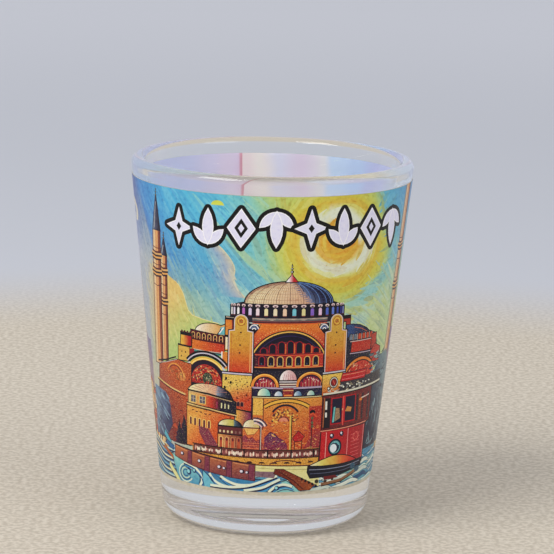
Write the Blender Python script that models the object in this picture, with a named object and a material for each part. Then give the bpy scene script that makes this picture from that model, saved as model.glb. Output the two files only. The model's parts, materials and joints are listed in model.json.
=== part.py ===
"""A souvenir shot glass: a pressed clear glass body with a full-wrap picture fired on its outside.

Four pieces, from the inside out: the glass body, the white undercoat that makes the picture opaque,
the picture print with its narrow butt seam at the back, and the clear gloss overcoat. The origin is the
centre of the foot's flat ring, +Z is up and the middle of the picture faces -Y.
"""

import math

import bmesh
import bpy
from mathutils import Matrix, Vector

MM = 0.001

# Turned body, in millimetres.
HEIGHT = 60.0
RIM_RADIUS = 23.2  # outer face at the rim
FOOT_RADIUS = 16.75  # outer face carried down to the table plane
LIP_RADIUS = 1.15  # fire-polished bead, half the wall at the rim
HEEL_RADIUS = 3.6  # round edge between the outer face and the foot ring
RING_INNER_RADIUS = 10.0  # the flat ring ends here and the punt starts
PUNT_DEPTH = 0.8
FLOOR_HEIGHT = 7.0  # thickness of the heavy base at its middle
FLOOR_FILLET = 5.0
WALL_AT_FLOOR = 2.8  # the wall is a little thicker low down than at the lip

# Coats on the outer face, in millimetres.
COAT = 0.06
COAT_GAP = 0.03
UNDERCOAT_SPAN = (7.4, 57.05)  # lowest and highest point of each coat
PICTURE_SPAN = (8.0, 57.0)
OVERCOAT_SPAN = (7.2, 57.4)
SEAM_WIDTH = 0.35
SEAM_ANGLE = 13.7  # degrees from straight behind towards -X

SIDES = 72
ARC_STEPS = 5
LIP_STEPS = 4


def clear_scene():
    for leftover in list(bpy.data.objects):
        bpy.data.objects.remove(leftover)


def outer_slope():
    return (RIM_RADIUS - FOOT_RADIUS) / HEIGHT


def outer_radius(height):
    return FOOT_RADIUS + outer_slope() * height


def arc(centre, radius, start, end, steps):
    """Points (r, z) from one angle to the other, in degrees from +r towards +z."""
    angles = [math.radians(start + (end - start) * i / steps) for i in range(steps + 1)]
    return [(centre[0] + radius * math.cos(a), centre[1] + radius * math.sin(a)) for a in angles]


def fillet_centre(point, direction, height, radius):
    """Centre of a circle below z = height + radius that touches both that floor and a sloping wall.

    The wall passes through point along direction (pointing up), and the circle is on its -r side.
    """
    normal = Vector((-direction.y, direction.x))
    centre_z = height + radius
    along = (centre_z - point.y - normal.y * radius) / direction.y
    return (point.x + direction.x * along + normal.x * radius, centre_z)


def body_profile():
    """The half section of the glass from the punt's middle round the outside and back to the floor."""
    taper = math.degrees(math.atan(outer_slope()))
    outside = Vector((outer_slope(), 1.0)).normalized()
    heel = fillet_centre(Vector((FOOT_RADIUS, 0.0)), outside, 0.0, HEEL_RADIUS)

    bead_height = HEIGHT - LIP_RADIUS
    bead_inset = LIP_RADIUS / math.cos(math.radians(taper))
    bead = (outer_radius(bead_height) - bead_inset, bead_height)

    inner_top = Vector((bead[0] - LIP_RADIUS, bead_height))
    inner_foot = Vector((outer_radius(FLOOR_HEIGHT) - WALL_AT_FLOOR, FLOOR_HEIGHT))
    inside = (inner_top - inner_foot).normalized()
    inner_taper = math.degrees(math.atan2(inside.x, inside.y))
    corner = fillet_centre(inner_foot, inside, FLOOR_HEIGHT, FLOOR_FILLET)

    punt_radius = (RING_INNER_RADIUS**2 + PUNT_DEPTH**2) / (2 * PUNT_DEPTH)
    punt_half_angle = math.degrees(math.asin(RING_INNER_RADIUS / punt_radius))
    punt_centre = (0.0, PUNT_DEPTH - punt_radius)

    points = arc(punt_centre, punt_radius, 90, 90 - punt_half_angle, ARC_STEPS)
    points += arc(heel, HEEL_RADIUS, -90, -taper, ARC_STEPS)
    points += arc(bead, LIP_RADIUS, -taper, 90, LIP_STEPS)
    points += arc(bead, LIP_RADIUS, 90, 180 - inner_taper, LIP_STEPS)[1:]
    points += arc(corner, FLOOR_FILLET, -inner_taper, -90, ARC_STEPS)
    return points + [(0.0, FLOOR_HEIGHT)]


def coat_profile(layer, span):
    """The section of one coat: a thin strip that follows the outer face, layer steps out from it."""
    low, high = span
    start = COAT_GAP + layer * (COAT + COAT_GAP)
    across = 1.0 / math.cos(math.atan(outer_slope()))
    inner = start * across
    outer = (start + COAT) * across
    return [
        (outer_radius(low) + inner, low),
        (outer_radius(low) + outer, low),
        (outer_radius(high) + outer, high),
        (outer_radius(high) + inner, high),
    ]


def turn(name, profile, closed):
    """A solid of revolution about Z. A closed profile makes a ring, an open one ends on the axis."""
    mesh = bmesh.new()
    verts = [mesh.verts.new((r * MM, 0.0, z * MM)) for r, z in profile]
    edges = [mesh.edges.new(pair) for pair in zip(verts, verts[1:])]
    if closed:
        edges.append(mesh.edges.new((verts[-1], verts[0])))
    bmesh.ops.spin(
        mesh,
        geom=verts + edges,
        cent=(0.0, 0.0, 0.0),
        axis=(0.0, 0.0, 1.0),
        angle=2 * math.pi,
        steps=SIDES,
        use_merge=True,
    )
    bmesh.ops.remove_doubles(mesh, verts=mesh.verts, dist=1e-6)
    bmesh.ops.recalc_face_normals(mesh, faces=mesh.faces)
    data = bpy.data.meshes.new(name)
    mesh.to_mesh(data)
    mesh.free()
    data.shade_smooth()
    data.set_sharp_from_angle(angle=math.radians(35))
    solid = bpy.data.objects.new(name, data)
    bpy.context.scene.collection.objects.link(solid)
    return solid


def seam_cutter():
    """A thin upright blade that parts the picture strip where its two ends meet."""
    mesh = bmesh.new()
    bmesh.ops.create_cube(mesh, size=1.0)
    size = (SEAM_WIDTH * MM, RIM_RADIUS * MM, 2 * HEIGHT * MM)
    bmesh.ops.scale(mesh, vec=size, verts=mesh.verts)
    bmesh.ops.translate(mesh, vec=(0.0, RIM_RADIUS * MM, HEIGHT / 2 * MM), verts=mesh.verts)
    turned = Matrix.Rotation(math.radians(SEAM_ANGLE), 3, "Z")
    bmesh.ops.rotate(mesh, cent=(0.0, 0.0, 0.0), matrix=turned, verts=mesh.verts)
    data = bpy.data.meshes.new("seam_cutter")
    mesh.to_mesh(data)
    mesh.free()
    cutter = bpy.data.objects.new("seam_cutter", data)
    bpy.context.scene.collection.objects.link(cutter)
    cutter.hide_render = True
    cutter.display_type = "WIRE"
    return cutter


def cut(solid, cutter):
    boolean = solid.modifiers.new("seam", "BOOLEAN")
    boolean.operation = "DIFFERENCE"
    boolean.solver = "EXACT"
    boolean.object = cutter


def paint(solid, colour, roughness, transmission=0.0):
    material = bpy.data.materials.new(solid.name)
    material.use_nodes = True
    shader = material.node_tree.nodes["Principled BSDF"]
    shader.inputs["Base Color"].default_value = (*colour, 1.0)
    shader.inputs["Roughness"].default_value = roughness
    shader.inputs["Metallic"].default_value = 0.0
    shader.inputs["Transmission Weight"].default_value = transmission
    shader.inputs["IOR"].default_value = 1.5
    solid.data.materials.append(material)


def make_glass_body():
    body = turn("glass_body", body_profile(), closed=False)
    paint(body, (0.95, 0.97, 0.97), 0.02, transmission=1.0)


def make_white_undercoat():
    undercoat = turn("white_undercoat", coat_profile(0, UNDERCOAT_SPAN), closed=True)
    paint(undercoat, (0.86, 0.84, 0.78), 0.35)


def make_picture_print():
    picture = turn("picture_print", coat_profile(1, PICTURE_SPAN), closed=True)
    cut(picture, seam_cutter())
    paint(picture, (0.72, 0.42, 0.16), 0.3)


def make_clear_overcoat():
    overcoat = turn("clear_overcoat", coat_profile(2, OVERCOAT_SPAN), closed=True)
    paint(overcoat, (0.93, 0.92, 0.88), 0.08, transmission=0.9)


clear_scene()
make_glass_body()
make_white_undercoat()
make_picture_print()
make_clear_overcoat()
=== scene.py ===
"""The souvenir shot glass: clear glass body, white undercoat and a full-wrap printed picture."""

import json
import math
import random

import bmesh
import bpy
import numpy as np
from mathutils import Matrix, Vector, noise
from mathutils.geometry import delaunay_2d_cdt

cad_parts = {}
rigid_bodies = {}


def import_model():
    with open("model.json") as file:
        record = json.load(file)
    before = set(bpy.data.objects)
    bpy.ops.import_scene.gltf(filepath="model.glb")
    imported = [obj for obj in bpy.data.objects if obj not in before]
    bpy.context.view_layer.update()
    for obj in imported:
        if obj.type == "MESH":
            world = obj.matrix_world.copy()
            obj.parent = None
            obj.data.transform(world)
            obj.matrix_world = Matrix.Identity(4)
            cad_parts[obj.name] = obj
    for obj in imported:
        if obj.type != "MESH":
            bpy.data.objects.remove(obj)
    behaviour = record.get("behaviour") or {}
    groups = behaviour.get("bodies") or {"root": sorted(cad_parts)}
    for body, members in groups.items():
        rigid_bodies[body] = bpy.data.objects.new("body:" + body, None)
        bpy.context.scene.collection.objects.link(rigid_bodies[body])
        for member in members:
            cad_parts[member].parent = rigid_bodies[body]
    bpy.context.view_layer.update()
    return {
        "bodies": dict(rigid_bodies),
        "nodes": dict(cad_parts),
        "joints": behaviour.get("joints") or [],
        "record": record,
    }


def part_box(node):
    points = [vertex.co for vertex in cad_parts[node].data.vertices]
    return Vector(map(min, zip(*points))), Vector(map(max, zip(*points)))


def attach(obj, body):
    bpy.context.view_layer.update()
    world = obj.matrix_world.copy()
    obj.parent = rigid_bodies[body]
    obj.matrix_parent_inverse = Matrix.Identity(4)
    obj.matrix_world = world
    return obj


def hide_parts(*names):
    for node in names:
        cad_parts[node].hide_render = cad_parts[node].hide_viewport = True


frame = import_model()

MM = 0.001

# ---------------------------------------------------------------- sizes, in millimetres
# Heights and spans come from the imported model; the section's radii repeat the CAD's.

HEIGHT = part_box("glass_body")[1][2] / MM
PICTURE_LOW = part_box("picture_print")[0][2] / MM
PICTURE_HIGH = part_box("picture_print")[1][2] / MM
UNDERCOAT_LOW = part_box("white_undercoat")[0][2] / MM
UNDERCOAT_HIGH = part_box("white_undercoat")[1][2] / MM
RIM_RADIUS = 23.2
FOOT_RADIUS = 16.75
LIP_RADIUS = 1.15
HEEL_RADIUS = 3.6
RING_INNER_RADIUS = 10.0
PUNT_DEPTH = 0.8
FLOOR_HEIGHT = 7.0
FLOOR_FILLET = 5.0
WALL_AT_FLOOR = 2.8
SEAM_ANGLE = 13.7
SEAM_WIDTH = 0.35
SLOPE = (RIM_RADIUS - FOOT_RADIUS) / HEIGHT
ACROSS = math.sqrt(1.0 + SLOPE * SLOPE)  # turns a thickness into a step in radius

COAT_BITE = 0.02  # the undercoat is bonded: its inner face lies just inside the glass
UNDERCOAT_FACE = 0.05
PICTURE_FACE = 0.09
PICTURE_FILM = 0.025
SIDES = 288  # of a turned piece
MIDDLE_RADIUS = 20.0  # where the flat picture and a drawing that stands upright all round agree


def wall_radius(z):
    return FOOT_RADIUS + SLOPE * z


# ---------------------------------------------------------------- colours and materials


def linear(colour):
    """Linear light from an 0-255 screen colour."""
    out = []
    for channel in colour:
        c = channel / 255.0
        out.append(c / 12.92 if c <= 0.04045 else ((c + 0.055) / 1.055) ** 2.4)
    return tuple(out)


class Nodes:
    """A small builder for one material's nodes."""

    def __init__(self, name):
        self.material = bpy.data.materials.new(name)
        self.material.use_nodes = True
        self.tree = self.material.node_tree
        self.shader = self.tree.nodes["Principled BSDF"]

    def put(self, kind, **settings):
        node = self.tree.nodes.new(kind)
        for key, value in settings.items():
            setattr(node, key, value)
        return node

    def feed(self, node, socket, value):
        target = node.inputs[socket]
        if isinstance(value, bpy.types.NodeSocket):
            self.tree.links.new(value, target)
        else:
            target.default_value = value

    def math(self, operation, a, b=0.0, c=0.0):
        node = self.put("ShaderNodeMath", operation=operation)
        for i, value in enumerate((a, b, c)):
            self.feed(node, i, value)
        return node.outputs[0]

    def vector(self, operation, a, b=(0.0, 0.0, 0.0)):
        node = self.put("ShaderNodeVectorMath", operation=operation)
        self.feed(node, 0, a)
        self.feed(node, 1, b)
        return node.outputs["Value" if operation == "LENGTH" else "Vector"]

    def split(self, vector):
        node = self.put("ShaderNodeSeparateXYZ")
        self.feed(node, 0, vector)
        return node.outputs

    def attribute(self, name, output="Vector"):
        return self.put("ShaderNodeAttribute", attribute_name=name).outputs[output]

    def position(self):
        """The object's own coordinates in millimetres."""
        coordinates = self.put("ShaderNodeTexCoord").outputs["Object"]
        return self.vector("MULTIPLY", coordinates, (1 / MM, 1 / MM, 1 / MM))

    def noise(self, vector, scale, detail, roughness=0.5):
        node = self.put("ShaderNodeTexNoise")
        self.feed(node, "Vector", vector)
        self.feed(node, "Scale", scale)
        self.feed(node, "Detail", detail)
        self.feed(node, "Roughness", roughness)
        return node.outputs["Fac"]

    def span(self, value, low, high, new_low=0.0, new_high=1.0, smooth=True):
        node = self.put("ShaderNodeMapRange")
        node.interpolation_type = "SMOOTHSTEP" if smooth else "LINEAR"
        for socket, number in zip(range(5), (value, low, high, new_low, new_high)):
            self.feed(node, socket, number)
        return node.outputs[0]

    def ramp(self, value, stops):
        """stops: (position 0-1, 0-255 colour) pairs."""
        node = self.put("ShaderNodeValToRGB")
        node.color_ramp.interpolation = "EASE"
        elements = node.color_ramp.elements
        while len(elements) > 1:
            elements.remove(elements[-1])
        for i, (place, colour) in enumerate(stops):
            element = elements[0] if i == 0 else elements.new(place)
            element.position = place
            element.color = (*linear(colour), 1.0)
        self.feed(node, "Fac", value)
        return node.outputs["Color"]

    def mix(self, factor, a, b, blend="MIX"):
        node = self.put("ShaderNodeMix", data_type="RGBA", blend_type=blend)
        self.feed(node, 0, factor)
        for socket, value in ((6, a), (7, b)):
            self.feed(node, socket, value if isinstance(value, bpy.types.NodeSocket) else (*value, 1.0))
        return node.outputs[2]

    def bump(self, height, distance):
        node = self.put("ShaderNodeBump")
        self.feed(node, "Height", height)
        self.feed(node, "Distance", distance)
        self.feed(node, "Strength", 1.0)
        self.feed(self.shader, "Normal", node.outputs[0])

    def set(self, **values):
        for key, value in values.items():
            self.feed(self.shader, key.replace("_", " "), value)


GLASS_WAVE = 0.00006  # metres of relief in the glass and in the print's gloss coat
PRINT_PEEL = 0.000012


def glass_material():
    """Clear pressed glass with the faint waviness that a mould leaves."""
    nodes = Nodes("clear_pressed_glass")
    nodes.set(Base_Color=(0.975, 0.985, 0.985, 1.0), Roughness=0.0, IOR=1.5, Transmission_Weight=1.0)
    place = nodes.position()
    ripple = nodes.noise(nodes.vector("MULTIPLY", place, (1.0, 1.0, 0.45)), 0.22, 1.0)
    nodes.bump(ripple, GLASS_WAVE)
    return nodes.material


def undercoat_material():
    """The white base coat where it can be seen from outside: along its edges and in the seam, toned to
    greyish beige as painted shade.
    """
    nodes = Nodes("white_base_coat")
    place = nodes.position()
    mottle = nodes.noise(place, 1.4, 3.0)
    # Greyish beige rather than white: painted shade for the coat's thin, shadowed margin.
    nodes.set(Base_Color=nodes.ramp(mottle, ((0.3, (190, 182, 160)), (0.7, (208, 200, 178)))))
    nodes.set(Roughness=nodes.span(mottle, 0.3, 0.7, 0.32, 0.45))
    return nodes.material


# Painted light: the reverse glows with its own tint, in place of daylight coming through the coats and the
# glass.
REVERSE_PAINTED_GLOW = 0.38  # the coats are thin enough for daylight to come through them
TINT_DRIFT = 14.0  # degrees that the reverse's tints wander by

# Pastel tints of the picture's reverse, by angle from the picture's middle.
REVERSE_TINTS = (
    (-166, (206, 184, 208)),
    (-160, (208, 196, 216)),
    (-150, (200, 196, 220)),
    (-138, (190, 194, 222)),
    (-112, (184, 192, 222)),
    (-80, (186, 200, 222)),
    (-45, (198, 210, 214)),
    (0, (222, 206, 184)),
    (40, (224, 214, 186)),
    (80, (196, 206, 218)),
    (125, (178, 184, 218)),
    (138, (176, 196, 226)),
    (152, (184, 204, 228)),
    (157, (214, 212, 214)),
    (166, (208, 194, 212)),
    (176, (206, 206, 222)),
    (186, (226, 218, 212)),
    (193, (222, 206, 206)),
)


def reverse_material():
    """The picture's reverse as it shows through the undercoat: pale tints, a red line at the seam, and a
    painted glow for the daylight that comes through.
    """
    nodes = Nodes("picture_reverse")
    place = nodes.position()
    x, y, z = nodes.split(place)[:3]
    turn = nodes.math("ARCTAN2", x, nodes.math("MULTIPLY", y, -1.0))
    degrees = nodes.math("MULTIPLY", turn, 180.0 / math.pi)
    start = SEAM_ANGLE - 180.0
    past = nodes.math("LESS_THAN", degrees, start)
    around = nodes.math("MULTIPLY_ADD", past, 360.0, degrees)
    drift = nodes.noise(place, 0.09, 2.0)
    moved = nodes.math("MULTIPLY_ADD", nodes.math("SUBTRACT", drift, 0.5), TINT_DRIFT, around)
    stops = tuple(((angle - start) / 360.0, tint) for angle, tint in REVERSE_TINTS)
    tint = nodes.ramp(nodes.span(moved, start, start + 360.0, smooth=False), stops)
    body = nodes.ramp(nodes.noise(place, 0.3, 3.0), ((0.35, (186, 178, 172)), (0.65, (218, 212, 200))))
    under_lip = nodes.span(z, 52.0, 47.0)
    tint = nodes.mix(nodes.math("MULTIPLY", under_lip, 0.45), tint, linear((214, 204, 204)))
    low = nodes.span(z, 44.0, 26.0)
    tint = nodes.mix(nodes.math("MULTIPLY", low, 0.85), tint, body)
    off_seam = nodes.math("ABSOLUTE", nodes.math("SUBTRACT", around, start + 0.2))
    red = nodes.span(off_seam, 0.5, 1.6, 0.75, 0.0)
    tint = nodes.mix(red, tint, linear((196, 120, 130)))
    # The emission is painted light: a glow of the tint that stands in for daylight through the coats.
    nodes.set(Base_Color=tint, Roughness=0.5, Emission_Color=tint, Emission_Strength=REVERSE_PAINTED_GLOW)
    return nodes.material


def ink_material():
    """The picture's drawn shapes: their own colours with the print's mottling and stipple."""
    nodes = Nodes("printed_ink")
    place = nodes.attribute("wrap")
    colour = nodes.attribute("ink", "Color")
    grain = nodes.attribute("grain", "Fac")
    mottle = nodes.noise(place, 1.6, 3.0, 0.6)
    colour = nodes.mix(nodes.span(mottle, 0.52, 0.72, 0.0, 0.30), colour, linear((250, 232, 190)),
                       "SOFT_LIGHT")
    colour = nodes.mix(nodes.span(mottle, 0.50, 0.30, 0.0, 0.45), colour, linear((70, 30, 40)), "SOFT_LIGHT")
    fine = nodes.noise(place, 5.2, 2.0, 0.55)
    dark = nodes.math("MULTIPLY", nodes.span(fine, 0.55, 0.66), grain)
    colour = nodes.mix(dark, colour, linear((60, 26, 40)), "MULTIPLY")
    pale = nodes.math("MULTIPLY", nodes.span(fine, 0.42, 0.30), nodes.math("MULTIPLY", grain, 0.55))
    colour = nodes.mix(pale, colour, linear((250, 226, 160)))
    finish_print(nodes, colour, place)
    return nodes.material


def finish_print(nodes, colour, place):
    """Ink under a clear gloss coat with a slight orange peel."""
    nodes.set(Base_Color=colour)
    peel = nodes.noise(place, 0.9, 2.0)
    nodes.set(Roughness=nodes.span(peel, 0.3, 0.7, 0.30, 0.42))
    nodes.set(Specular_IOR_Level=0.22, Coat_Weight=0.18, Coat_Roughness=0.06, Coat_IOR=1.5)
    nodes.bump(peel, PRINT_PEEL)


# ---------------------------------------------------------------- turned pieces


def arc(centre, radius, start, end, steps):
    """Points (r, z) from one angle to the other, in degrees from +r towards +z."""
    angles = [math.radians(start + (end - start) * i / steps) for i in range(steps + 1)]
    return [(centre[0] + radius * math.cos(a), centre[1] + radius * math.sin(a)) for a in angles]


def fillet_centre(point, direction, height, radius):
    """Centre of the fillet between a level line and a slanted one, on the slanted line's left."""
    normal = Vector((-direction.y, direction.x))
    along = (height + radius - point.y - normal.y * radius) / direction.y
    return (point.x + direction.x * along + normal.x * radius, height + radius)


def glass_profile():
    """Half section of the glass from the punt's middle, up the outside, to the bowl's middle."""
    taper = math.degrees(math.atan(SLOPE))
    outside = Vector((SLOPE, 1.0)).normalized()
    heel = fillet_centre(Vector((FOOT_RADIUS, 0.0)), outside, 0.0, HEEL_RADIUS)
    bead_height = HEIGHT - LIP_RADIUS
    bead = (wall_radius(bead_height) - LIP_RADIUS * ACROSS, bead_height)
    inner_top = Vector((bead[0] - LIP_RADIUS, bead_height))
    inner_foot = Vector((wall_radius(FLOOR_HEIGHT) - WALL_AT_FLOOR, FLOOR_HEIGHT))
    inside = (inner_top - inner_foot).normalized()
    inner_taper = math.degrees(math.atan2(inside.x, inside.y))
    corner = fillet_centre(inner_foot, inside, FLOOR_HEIGHT, FLOOR_FILLET)
    punt_radius = (RING_INNER_RADIUS**2 + PUNT_DEPTH**2) / (2 * PUNT_DEPTH)
    punt_half = math.degrees(math.asin(RING_INNER_RADIUS / punt_radius))
    points = arc((0.0, PUNT_DEPTH - punt_radius), punt_radius, 90, 90 - punt_half, 16)
    points += arc(heel, HEEL_RADIUS, -90, -taper, 24)
    points += arc(bead, LIP_RADIUS, -taper, 90, 18)
    points += arc(bead, LIP_RADIUS, 90, 180 - inner_taper, 18)[1:]
    points += arc(corner, FLOOR_FILLET, -inner_taper, -90, 24)
    return points + [(0.0, FLOOR_HEIGHT)]


def band_profile(low, high, inner, outer):
    """Closed section of a thin coat lying on the glass."""
    steps = 24
    heights = [low + (high - low) * i / steps for i in range(steps + 1)]
    face = [(wall_radius(z) + outer * ACROSS, z) for z in heights]
    back = [(wall_radius(z) + inner * ACROSS, z) for z in reversed(heights)]
    return face + back


def turned(name, profile, closed):
    """A solid of revolution about Z. A closed profile makes a ring, an open one ends on the axis."""
    mesh = bmesh.new()
    points = [mesh.verts.new((r * MM, 0.0, z * MM)) for r, z in profile]
    edges = [mesh.edges.new(pair) for pair in zip(points, points[1:])]
    if closed:
        edges.append(mesh.edges.new((points[-1], points[0])))
    bmesh.ops.spin(
        mesh, geom=points + edges, cent=(0, 0, 0), axis=(0, 0, 1), angle=math.tau, steps=SIDES, use_merge=True
    )
    bmesh.ops.remove_doubles(mesh, verts=mesh.verts, dist=1e-7)
    bmesh.ops.recalc_face_normals(mesh, faces=mesh.faces)
    data = bpy.data.meshes.new(name)
    mesh.to_mesh(data)
    mesh.free()
    data.shade_smooth()
    data.set_sharp_from_angle(angle=math.radians(40))
    piece = bpy.data.objects.new(name, data)
    bpy.context.scene.collection.objects.link(piece)
    return piece


# ---------------------------------------------------------------- drawing tools
# The picture is drawn flat, in millimetres: x runs round the glass to the right from the
# picture's middle, and z is the height. Later shapes lie on top of earlier ones.

INK = (18, 16, 28)
NAVY = (26, 26, 54)
MAROON = (92, 28, 44)
CRIMSON = (188, 34, 54)
RED = (196, 44, 48)
AMBER = (224, 158, 70)
GOLD = (226, 182, 84)
CREAM = (238, 226, 178)
WHITE = (244, 240, 238)
CYAN = (132, 202, 214)


def blend(a, b, share):
    share = min(max(share, 0.0), 1.0)
    return tuple(p + (q - p) * share for p, q in zip(a, b))


def upward(low_colour, high_colour, low, high):
    """A paint that goes from one colour to the other with height."""
    return lambda x, z: blend(low_colour, high_colour, (z - low) / (high - low))


def sideways(left_colour, right_colour, left, right):
    return lambda x, z: blend(left_colour, right_colour, (x - left) / (right - left))


def parted(edge, left_paint, right_paint):
    """Two paints that meet at an upright edge."""
    return lambda x, z: left_paint(x, z) if x < edge else right_paint(x, z)


def stops(table, place):
    """The colour at a place in a table of (place, colour) rows."""
    if place <= table[0][0]:
        return table[0][1]
    for (a, first), (b, second) in zip(table, table[1:]):
        if place <= b:
            return blend(first, second, (place - a) / (b - a))
    return table[-1][1]


def ring_points(x, z, rx, rz, start=0.0, end=360.0, steps=20):
    """Points along an ellipse, in degrees from +x towards +z."""
    angles = [math.radians(start + (end - start) * i / steps) for i in range(steps + 1)]
    return [(x + rx * math.cos(a), z + rz * math.sin(a)) for a in angles]


def smoothed(points):
    """A curve through the points (Catmull-Rom), with a few places between each pair."""
    steps = 4
    path = [points[0], *points, points[-1]]
    curve = []
    for (ax, az), (bx, bz), (cx, cz), (dx, dz) in zip(path, path[1:], path[2:], path[3:]):
        for i in range(steps):
            t = i / steps
            before = (-t + 2 * t * t - t**3) / 2
            first = (2 - 5 * t * t + 3 * t**3) / 2
            second = (t + 4 * t * t - 3 * t**3) / 2
            after = (t**3 - t * t) / 2
            x = before * ax + first * bx + second * cx + after * dx
            z = before * az + first * bz + second * cz + after * dz
            curve.append((x, z))
    return curve + [points[-1]]


def panel(left, low, right, high):
    return [(left, low), (right, low), (right, high), (left, high)]


def beside(points, shift, closed):
    """The points moved sideways by the shift, to the left of the way they run."""
    normals = []
    for (x0, z0), (x1, z1) in zip(points, points[1:] + points[:1]):
        length = math.hypot(x1 - x0, z1 - z0) or 1.0
        normals.append((-(z1 - z0) / length, (x1 - x0) / length))
    if not closed:
        normals[-1] = normals[-2]
    moved = []
    for i, (x, z) in enumerate(points):
        before = normals[i - 1] if i or closed else normals[0]
        after = normals[i]
        spread = max(1.0 + before[0] * after[0] + before[1] * after[1], 0.45)
        moved.append((x + shift * (before[0] + after[0]) / spread,
                      z + shift * (before[1] + after[1]) / spread))
    return moved


def stood_up(points, paint=None):
    """A drawing's points and paint moved so that its upright lines run up the tapered glass."""
    moved = [(x * wall_radius(z) / MIDDLE_RADIUS, z) for x, z in points]
    if callable(paint):
        return moved, lambda x, z: paint(x * MIDDLE_RADIUS / wall_radius(z), z)
    return moved, paint


class Picture:
    """What is drawn, as (outline, paint, grain) rows. A paint is a colour, or a function of the place."""

    def __init__(self):
        self.shapes = []
        self.guides = []
        self.upright = False

    def fill(self, points, paint, grain=0.0):
        if self.upright:
            points, paint = stood_up(points, paint)
        self.shapes.append((points, paint, grain))

    def guide(self, points):
        """A line that isn't seen: it gives a paint more places to change at."""
        self.guides.append(stood_up(points)[0] if self.upright else points)

    def box(self, left, low, right, high, paint, grain=0.0):
        self.fill(panel(left, low, right, high), paint, grain)

    def oval(self, x, z, rx, rz, paint, grain=0.0, start=0.0, end=360.0, steps=20):
        points = ring_points(x, z, rx, rz, start, end, steps)
        if end - start >= 360.0:
            points.pop()
        self.fill(points, paint, grain)

    def line(self, points, width, paint, closed=False):
        """A stroke of even width with mitred corners."""
        left = beside(points, width / 2, closed)
        right = beside(points, -width / 2, closed)
        if closed:
            left.append(left[0])
            right.append(right[0])
        self.fill(left + right[::-1], paint)

    def lines(self, points, *looks):
        """Strokes along one path, one over the other; looks are (width, paint) pairs."""
        for width, paint in looks:
            self.line(points, width, paint)

    def thick_line(self, outline, width, paint):
        """A wide closed stroke with round corners, for outlines with sharp points."""
        for (x0, z0), (x1, z1) in zip(outline, outline[1:] + outline[:1]):
            length = math.hypot(x1 - x0, z1 - z0)
            nx, nz = -(z1 - z0) / length * width / 2, (x1 - x0) / length * width / 2
            self.fill([(x0 + nx, z0 + nz), (x0 - nx, z0 - nz), (x1 - nx, z1 - nz), (x1 + nx, z1 + nz)], paint)
            self.oval(x0, z0, width / 2, width / 2, paint, steps=14)

    def shape(self, points, paint, edge=INK, width=0.2, grain=0.0):
        """A filled outline with a drawn edge."""
        self.line(points, width * 1.25, edge, closed=True)
        self.fill(points, paint, grain)

    def opening(self, x, low, half, height, paint, frame=None, width=0.16):
        """An upright opening with a round head, inside a frame where one is given."""
        spring = low + height - half
        if frame:
            outer = ring_points(x, spring, half + width, half + width, 0, 180, 8)
            self.fill([(x + half + width, low), *outer, (x - half - width, low)], frame)
        self.fill([(x + half, low), *ring_points(x, spring, half, half, 0, 180, 8), (x - half, low)], paint)

    def dab(self, x, z, length, width, lean, paint, bend=0.0):
        """A tapered brush mark; lean is its direction in degrees."""
        steps = 4
        spine = []
        heading = lean - bend / 2
        px, pz = x, z
        for i in range(steps + 1):
            spine.append((px, pz, heading))
            px += length / steps * math.cos(math.radians(heading))
            pz += length / steps * math.sin(math.radians(heading))
            heading += bend / steps
        shift_x, shift_z = (px - x) / 2, (pz - z) / 2
        left, right = [], []
        for i, (sx, sz, angle) in enumerate(spine):
            half = width / 2 * math.sin(math.pi * (i + 0.35) / (steps + 0.7))
            nx, nz = -math.sin(math.radians(angle)) * half, math.cos(math.radians(angle)) * half
            left.append((sx + nx - shift_x, sz + nz - shift_z))
            right.append((sx - nx - shift_x, sz - nz - shift_z))
        self.fill(left + right[::-1], paint)


picture = Picture()
fill, box, oval, guide = picture.fill, picture.box, picture.oval, picture.guide
line, lines, thick_line = picture.line, picture.lines, picture.thick_line
shape, opening, dab = picture.shape, picture.opening, picture.dab

# Every random number of the picture comes from these dice, in the order that the shapes are drawn in.
dice = random.Random(11)
between, pick = dice.uniform, dice.choice


def scatter(count, left, right, low, high, outline=None):
    """Places strewn over a panel, or over the part of it that lies in an outline."""
    for _ in range(count):
        x, z = between(left, right), between(low, high)
        if outline is None or within(outline, np.array([[x, z]]))[0]:
            yield x, z


def within(outline, spots):
    """Which of the places, an array of (x, z) rows, lie in an outline."""
    x, z = spots.T
    inside = np.zeros(len(spots), bool)
    for (x0, z0), (x1, z1) in zip(outline, outline[1:] + outline[:1]):
        if z0 != z1:
            inside ^= ((z0 > z) != (z1 > z)) & (x < x0 + (z - z0) * (x1 - x0) / (z1 - z0))
    return inside


# ---------------------------------------------------------------- sky

LEFT_END, RIGHT_END = -68.0, 80.0  # the picture's furthest reach round the glass, at its widest
SUN = (11.3, 49.9)
SUN_REACH = 13.5

# Colours by the place round the glass: high in the sky, half way down, and low above the town.
SKY_HIGH = (
    (-68, (104, 128, 190)),
    (-50, (140, 150, 204)),
    (-36, (96, 120, 184)),
    (-27, (64, 92, 164)),
    (-23, (78, 146, 206)),
    (-14, (92, 184, 220)),
    (-6, (104, 196, 220)),
    (0, (146, 208, 200)),
    (5, (202, 210, 116)),
    (20, (196, 210, 124)),
    (24, (116, 192, 214)),
    (33, (92, 160, 206)),
    (46, (120, 150, 206)),
    (60, (170, 160, 200)),
    (72, (150, 150, 206)),
    (80, (104, 128, 190)),
)
SKY_MIDDLE = (
    (-68, (160, 160, 196)),
    (-50, (200, 186, 180)),
    (-36, (160, 164, 196)),
    (-28, (194, 200, 214)),
    (-24.5, (168, 184, 208)),
    (-20.5, (88, 152, 204)),
    (-10, (100, 176, 210)),
    (-3, (130, 200, 206)),
    (2, (206, 208, 120)),
    (15, (216, 204, 96)),
    (20, (184, 208, 158)),
    (26, (146, 198, 200)),
    (40, (176, 194, 176)),
    (60, (206, 184, 170)),
    (80, (160, 160, 196)),
)
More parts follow.
